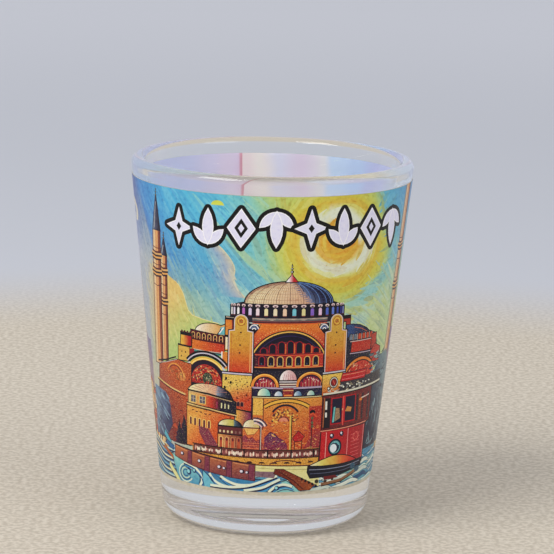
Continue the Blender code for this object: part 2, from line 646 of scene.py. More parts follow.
SKY_LOW = (
    (-68, (214, 186, 156)),
    (-45, (220, 196, 146)),
    (-28, (190, 196, 186)),
    (-18, (184, 200, 160)),
    (-12, (156, 198, 194)),
    (-6, (146, 200, 206)),
    (-1, (176, 206, 170)),
    (5, (206, 210, 128)),
    (14, (202, 214, 150)),
    (21, (190, 214, 172)),
    (30, (196, 196, 136)),
    (50, (220, 186, 124)),
    (80, (214, 186, 156)),
)
# Bands of another tone across the sky: middle x and z, slope, half width, tone.
SKY_BANDS = (
    (20.0, 41.6, 0.62, 2.0, (140, 204, 218)),
    (17.0, 36.6, 0.5, 1.5, (166, 212, 206)),
    (21.0, 38.6, 0.6, 0.9, (206, 222, 190)),
    (-3.5, 40.6, -0.9, 1.5, (176, 214, 204)),
    (-4.0, 47.0, -0.8, 1.1, (190, 216, 170)),
)
# Colours by the distance from the sun.
SUN_RINGS = (
    (0.0, (226, 150, 56)),
    (1.0, (228, 196, 84)),
    (1.8, (226, 158, 58)),
    (2.5, (228, 196, 78)),
    (3.2, (226, 176, 70)),
    (3.8, (230, 216, 128)),
    (4.6, (228, 232, 212)),
    (6.0, (228, 232, 206)),
    (6.7, (222, 218, 120)),
    (7.6, (222, 190, 76)),
    (8.6, (216, 204, 86)),
    (10.2, (208, 212, 108)),
    (13.5, (180, 208, 140)),
)


def sway(x, z, size, seed):
    """Smooth noise, about -1 to 1, over patches of the given size."""
    return noise.noise(Vector((x / size, z / size, seed)))


def sky_tone(x, z):
    """The painted sky's colour."""
    wx = x + 5.0 * sway(x, z, 11.0, 3.1) + 0.35 * (z - 48.0)
    wz = z + 3.0 * sway(x, z, 8.0, 9.4)
    high, middle, low = stops(SKY_HIGH, wx), stops(SKY_MIDDLE, wx), stops(SKY_LOW, wx)
    tone = stops(((36.0, low), (45.0, middle), (53.0, high)), wz)
    reach = sun_distance(x, z)
    tone = blend(stops(SUN_RINGS, reach), tone, (reach - 0.72 * SUN_REACH) / (0.22 * SUN_REACH))
    for middle_x, middle_z, rise, half, streak in SKY_BANDS:
        off = abs(z - middle_z - rise * (x - middle_x) - 0.03 * (x - middle_x) ** 2) / half
        along = abs(x - middle_x) / 8.5
        tone = blend(tone, streak, 0.85 * max(1.0 - off * off, 0.0) * max(1.0 - along ** 3, 0.0))
    return tone


def sun_distance(x, z):
    """How far a place is from the sun, along rings that wind and waver a little."""
    dx, dz = x - SUN[0], (z - SUN[1]) * 1.15
    reach = math.hypot(dx, dz)
    return reach + 0.3 * math.atan2(dz, -dx) + 0.5 * sway(x, z, 5.0, 6.6)


def sky_heading(x, z):
    """Which way the brush went, in degrees: round the sun near it, in long slanting sweeps elsewhere."""
    sweep = -42.0 + 18.0 * sway(x, z, 16.0, 1.7) + 7.0 * math.sin(x / 9.0)
    dx, dz = x - SUN[0], z - SUN[1]
    reach = math.hypot(dx, dz)
    round_sun = math.degrees(math.atan2(dz, dx)) + 90.0
    if reach < 0.8 * SUN_REACH:
        return round_sun
    return sweep if reach > SUN_REACH else round_sun + (sweep - round_sun) * 0.5


def draw_sky():
    """The sky's colours under long soft strokes, with finer marks over them."""
    box(LEFT_END, PICTURE_LOW - 1, RIGHT_END, PICTURE_HIGH + 1, sky_tone)
    for kind, count in enumerate((1300, 1100)):
        for x, z in scatter(count, LEFT_END, RIGHT_END, 31.0, 57.5):
            near_sun = math.hypot(x - SUN[0], z - SUN[1]) < SUN_REACH
            length = (between(3.5, 9.0), between(1.6, 4.6))[kind] * (0.6 if near_sun else 1.0)
            width = (between(0.35, 1.1), between(0.1, 0.26))[kind]
            depth = (0.17, 0.22)[kind]
            if dice.random() < 0.5:
                tint = (238, 242, 224)
            else:
                tint = (176, 112, 40) if near_sun else pick(((40, 88, 160), (140, 140, 200)))
            tone = blend(sky_tone(x, z), tint, between(0.04, depth))
            dab(x, z, length, width, sky_heading(x, z), tone, between(-8, 22))


# The near cloud's right edge, from its top to its foot.
CLOUD_EDGE = ((-10.0, 49.2), (-8.5, 48.7), (-7.2, 47.6), (-6.1, 46.2), (-5.6, 44.9), (-5.7, 43.3),
              (-4.9, 41.6), (-3.8, 40.4))


def cloud_tone(x, z):
    """Warm grey along the cloud's right edge, which runs out into the sky on its left."""
    sides, heights = zip(*reversed(CLOUD_EDGE))
    away = np.interp(z, heights, sides) - x
    tone = blend((206, 204, 184), (170, 178, 200), away / 1.6)
    return blend(tone, sky_tone(x, z), (away - 0.8) / 3.0)


def bank_tone(x, z):
    """The sunlit cloud bank low on the left, bluish at its far end."""
    sunny = blend((186, 206, 132), (224, 196, 124), (z - 31) / 9 - (x + 16) / 12)
    return blend(sunny, (178, 186, 196), (-21.0 - x) / 4.5)


def far_tone(x, z):
    """The tall pale bank behind the left towers, which fades into the sky above and on its left."""
    pale = blend((196, 196, 158), (180, 188, 192), (z - 34.0) / 7.0)
    pale = blend(pale, (136, 160, 188), (z - 44.0) / 6.0)
    return blend(pale, sky_tone(x, z), max((-25.6 - x) / 6.0, (z - 51.0) / 4.5))


def draw_clouds():
    """Two cloud banks on the left and a cloud that curls down from the sky, each brushed over."""
    far_bank = smoothed(((-27.6, 55.6), (-26.2, 52.6), (-24.4, 49.4), (-23.0, 46.4), (-22.6, 43.0)))
    far_bank += [(-22.4, 30.0), (-34.5, 30.0)]
    far_bank += smoothed(((-35.5, 36.0), (-35.6, 42.0), (-34.6, 48.0), (-32.6, 52.4), (-30.0, 55.0),
                          (-27.6, 55.6)))
    fill(far_bank, far_tone)
    for x, z in scatter(130, -32, -22.5, 31, 54, far_bank):
        tone = blend(far_tone(x, z), pick(((214, 218, 214), (110, 140, 190))), between(0.05, 0.3))
        dab(x, z, between(2.0, 4.4), between(0.15, 0.5), between(-72, -60), tone, 14)
    crest = [(-20.5, 43.4), (-16.9, 41.8), (-15.9, 41.2), (-14.9, 39.9), (-14.4, 38.6), (-13.9, 37.3),
             (-13.0, 36.6), (-11.0, 36.2), (-8.2, 35.8)]
    bank = [(-30, 44.0), (-26, 43.6), *crest, (-5.5, 35.2), (-5.5, 27.0), (-30, 27.0)]
    fill(bank, bank_tone)
    line(crest[1:], 0.13, (236, 220, 158))
    edge = smoothed(CLOUD_EDGE)
    cloud = edge + [(-8.6, 40.4), (-10.6, 44.5), (-12.6, 48.4)]
    fill(cloud, cloud_tone)
    line(edge, 0.15, (220, 214, 176))
    for x, z in scatter(150, -26, -6, 30, 43, bank):
        tone = blend(bank_tone(x, z), (240, 226, 170), between(0, 0.4))
        dab(x, z, between(1.6, 3.6), between(0.15, 0.5), between(-75, -50), tone, 14)
    for x, z in scatter(70, -11, -4.5, 41, 49, cloud):
        tone = blend(cloud_tone(x, z), pick(((236, 232, 206), (130, 156, 196))), between(0.05, 0.3))
        dab(x, z, between(1.2, 2.8), between(0.15, 0.4), -58, tone, 14)
    oval(-8.7, 55.2, 1.1, 0.8, (214, 220, 96), start=0, end=180)


# ---------------------------------------------------------------- town


def draw_spire_tower(x, foot, base, tip, half, balconies):
    """A slim tower: shaft lit from the left, ringed balconies and a tall dark cone."""
    top_half = half * 0.82
    shaft = [(x - half, foot), (x + half, foot), (x + top_half, base), (x - top_half, base)]
    tones = ((-1.0, (196, 170, 150)), (-0.55, (238, 212, 164)), (-0.1, (214, 148, 100)),
             (0.2, (232, 184, 122)), (0.6, (166, 90, 62)), (1.0, (86, 40, 48)))
    for share, _ in tones[1:-1]:
        guide([(x + half * share, foot), (x + top_half * share, base)])
    line(shaft, 0.3, (84, 34, 44), closed=True)
    fill(shaft,
         lambda px, z: stops(tones, (px - x) / (half + (top_half - half) * (z - foot) / (base - foot))), 0.25)
    line([(x + half * 0.5, foot), (x + top_half * 0.5, base)], half * 0.1, (110, 44, 52))
    cone = [(x - top_half * 1.1, base), (x + top_half * 1.1, base), (x + 0.1, tip - 1.2),
            (x - 0.1, tip - 1.2)]
    tones_up = ((-1.0, (120, 140, 156)), (-0.4, (92, 96, 122)), (0.2, (44, 42, 70)), (1.0, (30, 26, 52)))
    shape(cone, lambda px, z: stops(tones_up, (px - x) / top_half), width=0.14)
    line([(x - top_half * 0.55, base + 0.3), (x - 0.1, tip - 2.2)], 0.12, (196, 196, 190))
    line([(x, tip - 1.2), (x, tip)], 0.12, INK)
    for lift, size in ((0.0, 0.16), (0.45, 0.2), (0.95, 0.24)):
        oval(x, tip - 0.15 - lift, size, size * 0.9, INK, steps=8)
        oval(x - 0.04, tip - 0.13 - lift, size * 0.4, size * 0.4, (196, 176, 120), steps=6)
    for level in balconies:
        for i, (wide, tone) in enumerate(((1.02, (60, 30, 50)), (1.1, (226, 168, 96)), (1.2, (40, 28, 50)),
                                          (1.14, (222, 178, 116)), (1.04, MAROON))):
            low = level + i * 0.3
            fill([(x - half * wide, low + 0.3), (x - half * 0.2, low), (x + half * wide, low + 0.16),
                  (x + half * wide, low + 0.46), (x - half * 0.2, low + 0.3), (x - half * wide, low + 0.6)],
                 tone)
        line([(x - half, level - 1.2), (x, level - 1.45), (x + half, level - 1.3)], 0.13, (96, 40, 50))
        line([(x - half, level + 2.3), (x, level + 2.05), (x + half, level + 2.2)], 0.13, (96, 40, 50))


def draw_ribbed_dome(x, z, rx, rz, lit, mid, dark):
    """A dome with fine ribs and courses, pale on the left and dark past a slanting edge."""
    outline = ring_points(x, z, rx, rz, 0, 180, 28)
    line(outline, 0.4, INK)
    fill(outline, lambda px, pz: blend(lit, mid, (px - x + rx) / rx * 0.75 - (pz - z) / rz * 0.25), 0.25)

    def night_side(height):
        return x + rx * (0.55 - 0.44 * height)

    def outline_side(height):
        return x + rx * math.sqrt(max(1.0 - height * height, 0.0))

    heights = [i / 12 for i in range(12)] + [0.993]
    night = [(outline_side(h), z + rz * h) for h in heights]
    edge = [(night_side(h) + 0.12 * (-1) ** i, z + rz * h) for i, h in enumerate(heights)]
    fill(night + edge[::-1],
         lambda px, pz: blend((104, 118, 150), dark, (px - night_side((pz - z) / rz)) / rx * 2.6))
    for i, height in enumerate(heights[:-1]):
        for step in range(3):
            reach = 0.16 * rx * (1.0 - step / 3.0)
            low = z + rz * (height + 0.02 + step * 0.028)
            start = night_side(height + 0.02 + step * 0.028)
            line([(start - reach, low), (start, low + 0.04)], 0.1,
                 ((176, 150, 150), (140, 136, 158), (120, 128, 160))[(i + step) % 3])
    for i in range(1, 50):
        side = math.sin(math.radians(-90 + 3.6 * i))
        curve = [(x + rx * side * math.cos(t), z + rz * math.sin(t))
                 for t in (math.pi / 2 * j / 8 for j in range(8))]
        lit_part = [spot for spot in curve if spot[0] < night_side((spot[1] - z) / rz)]
        dark_part = [spot for spot in curve if spot[0] >= night_side((spot[1] - z) / rz)]
        if len(lit_part) > 2:
            line(lit_part, 0.1 if i % 5 == 0 else 0.06, (140, 104, 90) if i % 5 == 0 else (178, 142, 120))
        if len(dark_part) > 2 and i % 2:
            line(dark_part, 0.1, (110, 144, 196) if i % 4 == 1 else (14, 16, 40))
    for i in range(1, 8):
        height = i / 8.0
        reach = rx * math.sqrt(1 - height * height)
        bow = [(x + reach * math.sin(a), z + rz * height - 0.1 * rz * math.cos(a) * (1 - height))
               for a in (math.radians(-90 + 15 * j) for j in range(13))]
        line([spot for spot in bow if spot[0] < night_side(height)], 0.06,
             (214, 176, 140) if i % 2 else (190, 144, 118))
        shade = [spot for spot in bow if spot[0] > night_side(height) + 0.6]
        if len(shade) > 2:
            line(shade, 0.06, (60, 70, 120))


def draw_finial(x, z, size):
    """The little onion on a dome, with three balls and a spike."""
    onion = [(x - 0.95 * size, z), (x - 0.6 * size, z + 0.5 * size), (x - 0.15 * size, z + 1.0 * size),
             (x, z + 1.6 * size), (x + 0.15 * size, z + 1.0 * size), (x + 0.6 * size, z + 0.5 * size),
             (x + 0.95 * size, z)]
    shape(onion, sideways(WHITE, RED, x - 0.3 * size, x + 0.15 * size), width=0.22 * size)
    for lift, radius in ((1.75, 0.3), (2.3, 0.24), (2.75, 0.17)):
        oval(x, z + lift * size, radius * size, radius * size, INK, steps=8)
        oval(x - 0.05, z + lift * size, radius * size * 0.4, radius * size * 0.4, WHITE, steps=6)
    line([(x, z + 2.8 * size), (x, z + 3.15 * size)], 0.12 * size, INK)


DRUM_SLOTS = (WHITE, (226, 216, 232), WHITE, (196, 120, 196), (222, 206, 232), (240, 220, 224), CREAM,
              (236, 222, 190), (238, 206, 178), CYAN, (226, 216, 160), (146, 112, 200), (232, 200, 224),
              (92, 112, 196), (112, 136, 210), (74, 88, 170), (58, 60, 140), (150, 160, 214))


def draw_drum(middle, half, low, high):
    """The ring of windows under the big dome, seen square on, so its piers crowd together at its ends."""
    wall = [(middle - half, low), (middle + half, low), (middle + half, high - 0.7),
            (middle + half * 0.8, high), (middle - half * 0.8, high), (middle - half, high - 0.5)]
    shape(wall, (20, 16, 42), width=0.24)
    count = len(DRUM_SLOTS)
    for i, tone in enumerate(DRUM_SLOTS):
        turn = math.radians(-84 + 168 * (i + 0.5) / count)
        x = middle + half * math.sin(turn)
        wide = 0.25 * math.cos(turn) + 0.05
        opening(x, low + 0.25, wide, high - low - 1.05, tone)
        box(x - wide, low + 0.25, x + wide, low + 0.42, (120, 60, 60))
        oval(x, high - 0.42, wide * 1.5, 0.24, (232, 208, 206), steps=10)
        oval(x, high - 0.50, wide * 0.8, 0.13, (90, 50, 70), steps=8)
        line([(x - wide * 1.9, low), (x - wide * 1.9, high - 0.3)], 0.09, (10, 10, 20))


def draw_buttress(left, right, low, shoulder, top):
    """A tall plain tower with a round-headed gable: gold above, glowing red below."""
    middle = (left + right) / 2
    neck = (right - left) * 0.27
    head = ring_points(middle, top - neck, neck, neck, 0, 180, 14)
    outline = [(left, low), (right, low), (right, shoulder), (middle + neck, shoulder + 0.15), *head,
               (middle - neck, shoulder + 0.15), (left, shoulder)]
    glow = ((low, (204, 66, 44)), (low + 2.2, (214, 116, 48)), (low + 4.2, (214, 156, 62)),
            (top, (218, 184, 84)))
    line(outline, 0.62, INK, closed=True)
    line(outline, 0.3, (222, 204, 204), closed=True)
    fill(outline, lambda x, z: stops(glow, z), grain=0.35)
    line([(left + 0.35, low + 0.2), (left + 0.35, shoulder - 0.3)], 0.09, (196, 120, 56))
    line([(right - 0.3, low + 0.2), (right - 0.3, shoulder - 0.3)], 0.16, (236, 176, 110))
    oval(middle, top - neck, neck * 0.74, neck * 0.78, (176, 104, 40))
    oval(middle, top - neck, neck * 0.6, neck * 0.64, (226, 186, 84))
    for turn in range(0, 360, 60):
        a = math.radians(turn + 30)
        oval(middle + 0.24 * math.cos(a), top - neck + 0.24 * math.sin(a), 0.13, 0.13, (176, 76, 44), steps=6)
    oval(middle, top - neck, 0.1, 0.1, INK, steps=6)
    for x, z in ((middle, shoulder - 0.1), (middle - 0.1, shoulder - 2.2), (middle - 0.15, shoulder - 3.5)):
        oval(x, z, 0.15, 0.15, (70, 24, 36), steps=8)
    box(left - 0.25, low - 0.75, right + 0.35, low - 0.12, INK)
    box(left - 0.15, low - 0.5, right + 0.25, low - 0.2, (206, 196, 206))


def draw_great_arch(left, right, x, low, radius, top):
    """The wall between the buttresses and its great window: two rows of lights in a dark head."""
    box(left, low, right, top, lambda px, z: blend((176, 24, 60), (230, 136, 54), (z - low - 2.0) / 5.0), 0.5)
    for turn in range(20, 161, 4):
        a = math.radians(turn)
        reach = radius + 0.75
        oval(x + reach * math.cos(a), low + reach * math.sin(a), 0.08, 0.08, (250, 206, 120), steps=6)
    for side in (-1, 1):
        sweep = ring_points(x + side * (radius + 2.6), top + 1.4, 4.4, 4.6, 255 if side < 0 else 285,
                            345 if side < 0 else 195, 10)
        lines(sweep, (0.34, (70, 18, 46)), (0.18, (240, 176, 90)))
    head = ring_points(x, low, radius, radius, 0, 180, 36)
    lines(head, (0.8, INK), (0.42, (236, 190, 96)))
    fill(head, (22, 16, 44))
    line(ring_points(x, low, radius - 0.55, radius - 0.55, 25, 155, 24), 0.14, (54, 40, 90))
    left_red, right_red = x - radius + 0.75, x + radius - 0.6
    fill([(left_red, low + 0.45), (right_red, low + 0.45), (right_red, low + 2.6), (x + 3.9, low + 3.9),
          (x + 1.6, low + 4.7), (x - 1.6, low + 4.7), (x - 3.6, low + 3.9), (left_red, low + 2.6)],
         lambda px, z: blend((84, 12, 50), (196, 52, 42), (px - x + 5.0) / 5.5 - (z - low) / 9.0), 0.4)
    for step in range(-3, 4):
        px = x + 0.15 + step * 1.42
        tall = 2.0 - 0.13 * step * step
        box(px + 0.46, low + 2.75, px + 0.72, low + 2.75 + tall * 0.85,
            (222, 130, 70) if step > -2 else (150, 30, 56))
        opening(px, low + 2.8, 0.46, tall, (20, 14, 42), frame=(172, 32, 46), width=0.12)
    line([(left_red, low + 2.62), (right_red, low + 2.62)], 0.26, (110, 16, 44))
    line([(left_red, low + 2.5), (right_red, low + 2.5)], 0.14, (230, 100, 66))
    for step in range(-3, 4):
        px = x + step * 1.46
        frame = (230, 184, 110) if step > -3 else (176, 50, 56)
        opening(px, low + 0.75, 0.4, 1.45, (20, 18, 44), frame=frame, width=0.14)
        box(px - 0.12, low + 0.85, px + 0.06, low + 1.15, (84, 92, 120))
        box(px - 0.5, low + 0.6, px + 0.5, low + 0.74, frame)
    line([(left_red, low + 0.42), (right_red, low + 0.42)], 0.16, (238, 150, 84))
    box(left, low - 0.2, right, low + 0.3, (24, 14, 36))
    for side in (-1, 1):
        corner = x + side * (radius - 0.9)
        fill([(corner, top), (corner + side * 1.2, top), (corner + side * 1.2, top - 3.2),
              (corner + side * 0.6, top - 2.2), (corner - side * 0.6, top - 0.9)], (20, 16, 40))
        for size, tone in ((0.72, WHITE), (0.5, (110, 130, 170)), (0.28, WHITE)):
            shell = ring_points(corner + side * 0.35, top - 1.35, size, size * 1.2, 15, 165, 10)
            line(shell, 0.16, tone)
        line([(corner - side * 0.3, top - 0.35), (corner + side * 1.2, top - 0.1)], 0.22, (196, 206, 196))
        line([(corner + side * 0.9, top - 1.6), (corner + side * 1.0, top - 3.0)], 0.2, CRIMSON)


def draw_small_arch(x, low, radius):
    """A gold arch over a crimson lunette with pale mullions."""
    ring = ring_points(x, low, radius, radius, 0, 180, 20)
    lines(ring, (0.7, INK), (0.44, (232, 150, 66)))
    line(ring_points(x, low, radius + 0.1, radius + 0.1, 20, 140, 14), 0.14, (250, 206, 110))
    inner = radius - 0.35
    fill(ring_points(x, low, inner, inner, 0, 180, 20), (88, 30, 66))
    for step in range(-3, 4):
        px = x + step * inner * 0.27
        tall = math.sqrt(max(inner * inner - (px - x) ** 2, 0.0)) - 0.3
        if tall > 0.4:
            opening(px, low + 0.1, inner * 0.09, tall, (170, 40, 66))
            line([(px + inner * 0.13, low), (px + inner * 0.13, low + tall * 0.85)], 0.1, (222, 150, 120))
    for _ in range(14):
        a, r = math.radians(between(20, 160)), between(0.5, 0.9) * inner
        oval(x + r * math.cos(a), low + r * math.sin(a), 0.1, 0.1, (232, 196, 186), steps=6)
    box(x - radius, low - 0.25, x + radius, low, (176, 150, 170))


def draw_left_wing():
    """A half dome on a window band and wall, a turret, and a gold arch over a mosaic lunette."""
    pier = panel(-6.95, 31.5, -5.2, 37.1)
    shape(pier, upward(AMBER, (222, 130, 50), 33, 37), width=0.24, grain=0.3)
    box(-7.05, 36.6, -5.1, 37.25, INK)
    line([(-6.9, 37.05), (-5.2, 37.05)], 0.14, (206, 190, 170))
    box(-5.9, 34.4, -5.2, 36.6, (140, 40, 50))
    box(-7.0, 33.7, -5.2, 34.1, INK)
    box(-6.9, 31.7, -6.1, 33.7, (238, 226, 196))
    dome = [(-12.4, 34.1), *ring_points(-9.3, 34.0, 3.1, 1.65, 165, 60, 10), (-7.1, 35.7), (-7.1, 33.4)]
    shape(dome, sideways((240, 232, 214), (222, 176, 110), -12, -8), width=0.24, grain=0.3)
    fill([(-8.2, 34.0), (-7.1, 34.0), (-7.1, 35.4), (-7.8, 35.2)], (116, 186, 190))
    line([(-8.0, 34.2), (-7.3, 35.2)], 0.2, WHITE)
    line([(-8.4, 33.9), (-7.7, 34.9)], 0.14, NAVY)
    band = [(-13.3, 32.7), (-7.1, 32.5), (-7.1, 33.8), (-13.3, 34.2)]
    shape(band, MAROON)
    for i in range(6):
        x = -12.8 + i * 1.02
        opening(x, 32.85 - i * 0.02, 0.22, 0.95, (40, 20, 34), frame=(232, 186, 120), width=0.12)
        oval(x, 33.15, 0.1, 0.14, (214, 120, 90), steps=6)
    shape([(-13.0, 31.0), (-7.1, 30.9), (-7.1, 32.4), (-13.0, 32.6)],
          sideways((222, 128, 50), (200, 60, 44), -12.5, -7.2), width=0.16, grain=0.5)
    box(-13.2, 30.5, -6.4, 31.0, (66, 72, 84))
    line([(-12.6, 30.8), (-8.5, 30.6), (-6.6, 30.4)], 0.2, (70, 150, 140))
    line([(-12.8, 31.0), (-7.0, 30.9)], 0.1, (216, 206, 190))
    box(-7.5, 28.4, -6.4, 31.2, (222, 140, 60), 0.4)
    line([(-7.5, 28.4), (-7.5, 31.2)], 0.2, WHITE)
    turret = [(-15.5, 31.3), (-13.2, 31.3), (-13.2, 33.4), (-15.4, 33.2)]
    shape(turret, sideways((232, 190, 80), (180, 34, 40), -15.0, -13.6), width=0.24)
    box(-15.6, 33.0, -13.1, 33.6, INK)
    for i in range(4):
        oval(-15.2 + i * 0.6, 33.65, 0.22, 0.22, MAROON, steps=6)
    shape([(-16.0, 28.7), (-13.6, 28.8), (-13.6, 31.1), (-16.0, 31.3)], (222, 180, 88), width=0.24,
          grain=0.35)
    box(-16.1, 31.1, -13.2, 31.4, INK)
    fill([(-13.6, 28.8), (-12.6, 29.9), (-12.6, 31.0), (-13.6, 31.0)], (150, 30, 44))
    for x, z in ((-15.2, 30.2), (-14.4, 30.2), (-15.3, 29.4)):
        oval(x, z, 0.12, 0.16, INK, steps=6)
    arch = ring_points(-10.4, 25.9, 3.7, 3.7, 150, 30, 20)
    box(-13.9, 24.4, -6.9, 28.0, (226, 176, 90), 0.5)
    fill([(-13.6, 24.4), *ring_points(-10.4, 25.9, 3.6, 3.6, 160, 20, 16), (-6.9, 24.4)], (40, 26, 50))
    for shift, width, tone in ((0.95, 0.9, INK), (0.95, 0.2, (206, 200, 210)), (0.55, 0.25, INK),
                               (0.1, 0.5, (232, 184, 76))):
        line(ring_points(-10.4, 25.9, 3.7 + shift, 3.7 + shift, 140, 38, 18), width, tone)
    line([(-16.2, 28.5), (-14.6, 28.1), (-13.4, 28.7)], 0.22, (216, 210, 210))
    line([(-16.2, 28.2), (-14.6, 27.8), (-13.3, 28.4)], 0.2, INK)
    line([(-7.4, 28.6), (-6.5, 27.4)], 0.3, (206, 206, 216))
    line(arch, 0.2, (250, 222, 140))
    mosaic = ring_points(-10.3, 25.4, 2.9, 3.3, 0, 180, 20)
    fill(mosaic, (190, 52, 48), 0.8)
    for _ in range(170):
        a, r = math.radians(between(5, 175)), math.sqrt(between(0.08, 1.0))
        x, z = -10.3 + 2.7 * r * math.cos(a), 25.5 + 3.0 * r * math.sin(a)
        tone = pick(((226, 120, 70), (120, 30, 50), (232, 196, 130), (90, 110, 96), (170, 40, 44),
                     (40, 24, 40)))
        dab(x, z, between(0.25, 0.5), between(0.1, 0.2), math.degrees(a) + 90, tone)
    oval(-10.0, 26.4, 0.95, 1.0, (64, 72, 60), 0.8)
    for _ in range(40):
        a, r = between(0, math.tau), between(0, 0.9)
        tone = pick(((30, 24, 40), (120, 140, 110), (206, 190, 150)))
        oval(-10.0 + r * math.cos(a), 26.4 + r * math.sin(a), 0.09, 0.09, tone, steps=6)
    line([(-13.2, 25.6), (-11.0, 25.3), (-7.2, 24.7)], 0.24, (150, 34, 40))
    line([(-13.2, 25.3), (-11.0, 25.0), (-7.2, 24.5)], 0.14, INK)


def draw_terracotta_wall():
    """The plain red wall at the picture's left, with its arch, a pale coping line and shaded houses below."""
    wall = [(-22.5, 14.5), (-13.2, 14.5), (-13.2, 28.3), (-16.5, 28.6), (-19.5, 27.6), (-21.6, 26.8)]
    shape(wall, lambda x, z: blend((138, 56, 60), (196, 96, 52), (z - 16) / 10 + (x + 18) / 14), grain=0.8)
    line([(-22.0, 27.4), (-19.4, 28.0), (-16.6, 29.0)], 0.26, INK)
    line([(-22.0, 27.0), (-19.4, 27.6), (-16.4, 28.6)], 0.12, (196, 186, 180))
    line(ring_points(-16.9, 25.2, 2.3, 2.6, 15, 150, 14), 0.2, (226, 160, 80))
    line(ring_points(-16.9, 25.2, 2.0, 2.3, 15, 150, 14), 0.12, MAROON)
    for x, z in scatter(40, -18.6, -15.2, 25.2, 26.9):
        dab(x, z, 0.4, 0.16, between(0, 180), pick(((150, 44, 44), (226, 150, 90), (120, 100, 60))))
    for i in range(4):
        line([(-15.6 + i * 0.35, 25.2), (-15.6 + i * 0.35, 26.6)], 0.1, (232, 190, 110))
    coping = [(-22.4, 24.4), (-20.4, 24.0), (-17.8, 23.5), (-14.4, 23.0)]
    line([(x, z - 0.25) for x, z in coping], 0.2, MAROON)
    line(coping, 0.24, (226, 196, 130))
    oval(-13.6, 25.7, 0.14, 0.14, INK, steps=6)
    for x, z in ((-16.0, 21.8), (-17.5, 20.0), (-15.4, 19.6)):
        line(ring_points(x, z, 0.5, 0.45, 20, 160, 8), 0.12, MAROON)
    shade = [(-24.0, 14.5), (-19.6, 14.5), (-17.6, 17.2), (-18.3, 20.6), (-19.8, 22.4), (-24.0, 23.0)]
    fill(shade,
         lambda x, z: blend((66, 66, 100), (116, 142, 170),
                            (z - 15) / 8 + (-20.0 - x) / 6 + 0.4 * sway(x, z, 1.2, 2.2)))
    for x, z in scatter(80, -24, -18.6, 15, 22):
        tone = blend((44, 48, 82), (160, 190, 204), dice.random())
        dab(x, z, between(0.8, 2.2), between(0.15, 0.4), -35, tone)
    for left, low, wide, tall in ((-17.6, 14.4, 1.5, 2.6), (-16.2, 14.4, 1.6, 1.9)):
        roof = [(left - 0.2, low + tall), (left + wide + 0.2, low + tall - 0.4),
                (left + wide * 0.4, low + tall + 0.7)]
        shape([(left, low), (left + wide, low), (left + wide, low + tall - 0.4), (left, low + tall)],
              (150, 52, 44), edge=MAROON, width=0.14, grain=0.6)
        shape(roof, (190, 84, 56), width=0.12)
        for i in range(4):
            line([(left + 0.1, low + 0.3 + i * 0.5), (left + wide - 0.1, low + 0.1 + i * 0.5)], 0.1,
                 (90, 30, 50))
    draw_cypress(-14.7, 14.4, 1.5, 5.2)
    draw_cypress(-15.9, 14.4, 1.1, 4.2)


def draw_cypress(x, low, half, tall):
    """A dark pointed tree with a ragged outline."""
    outline = [(x + half, low)]
    for i in range(1, 9):
        share = i / 9
        reach = half * (1 - share) * (1.25 if i % 2 else 0.8)
        outline.append((x + reach, low + tall * share))
    outline.append((x - 0.1, low + tall))
    for i in range(8, 0, -1):
        share = i / 9
        reach = half * (1 - share) * (0.8 if i % 2 else 1.25)
        outline.append((x - reach, low + tall * share - 0.15))
    outline.append((x - half, low))
    fill(outline, sideways((76, 34, 74), (22, 20, 48), x - half, x + half * 0.4), 0.5)


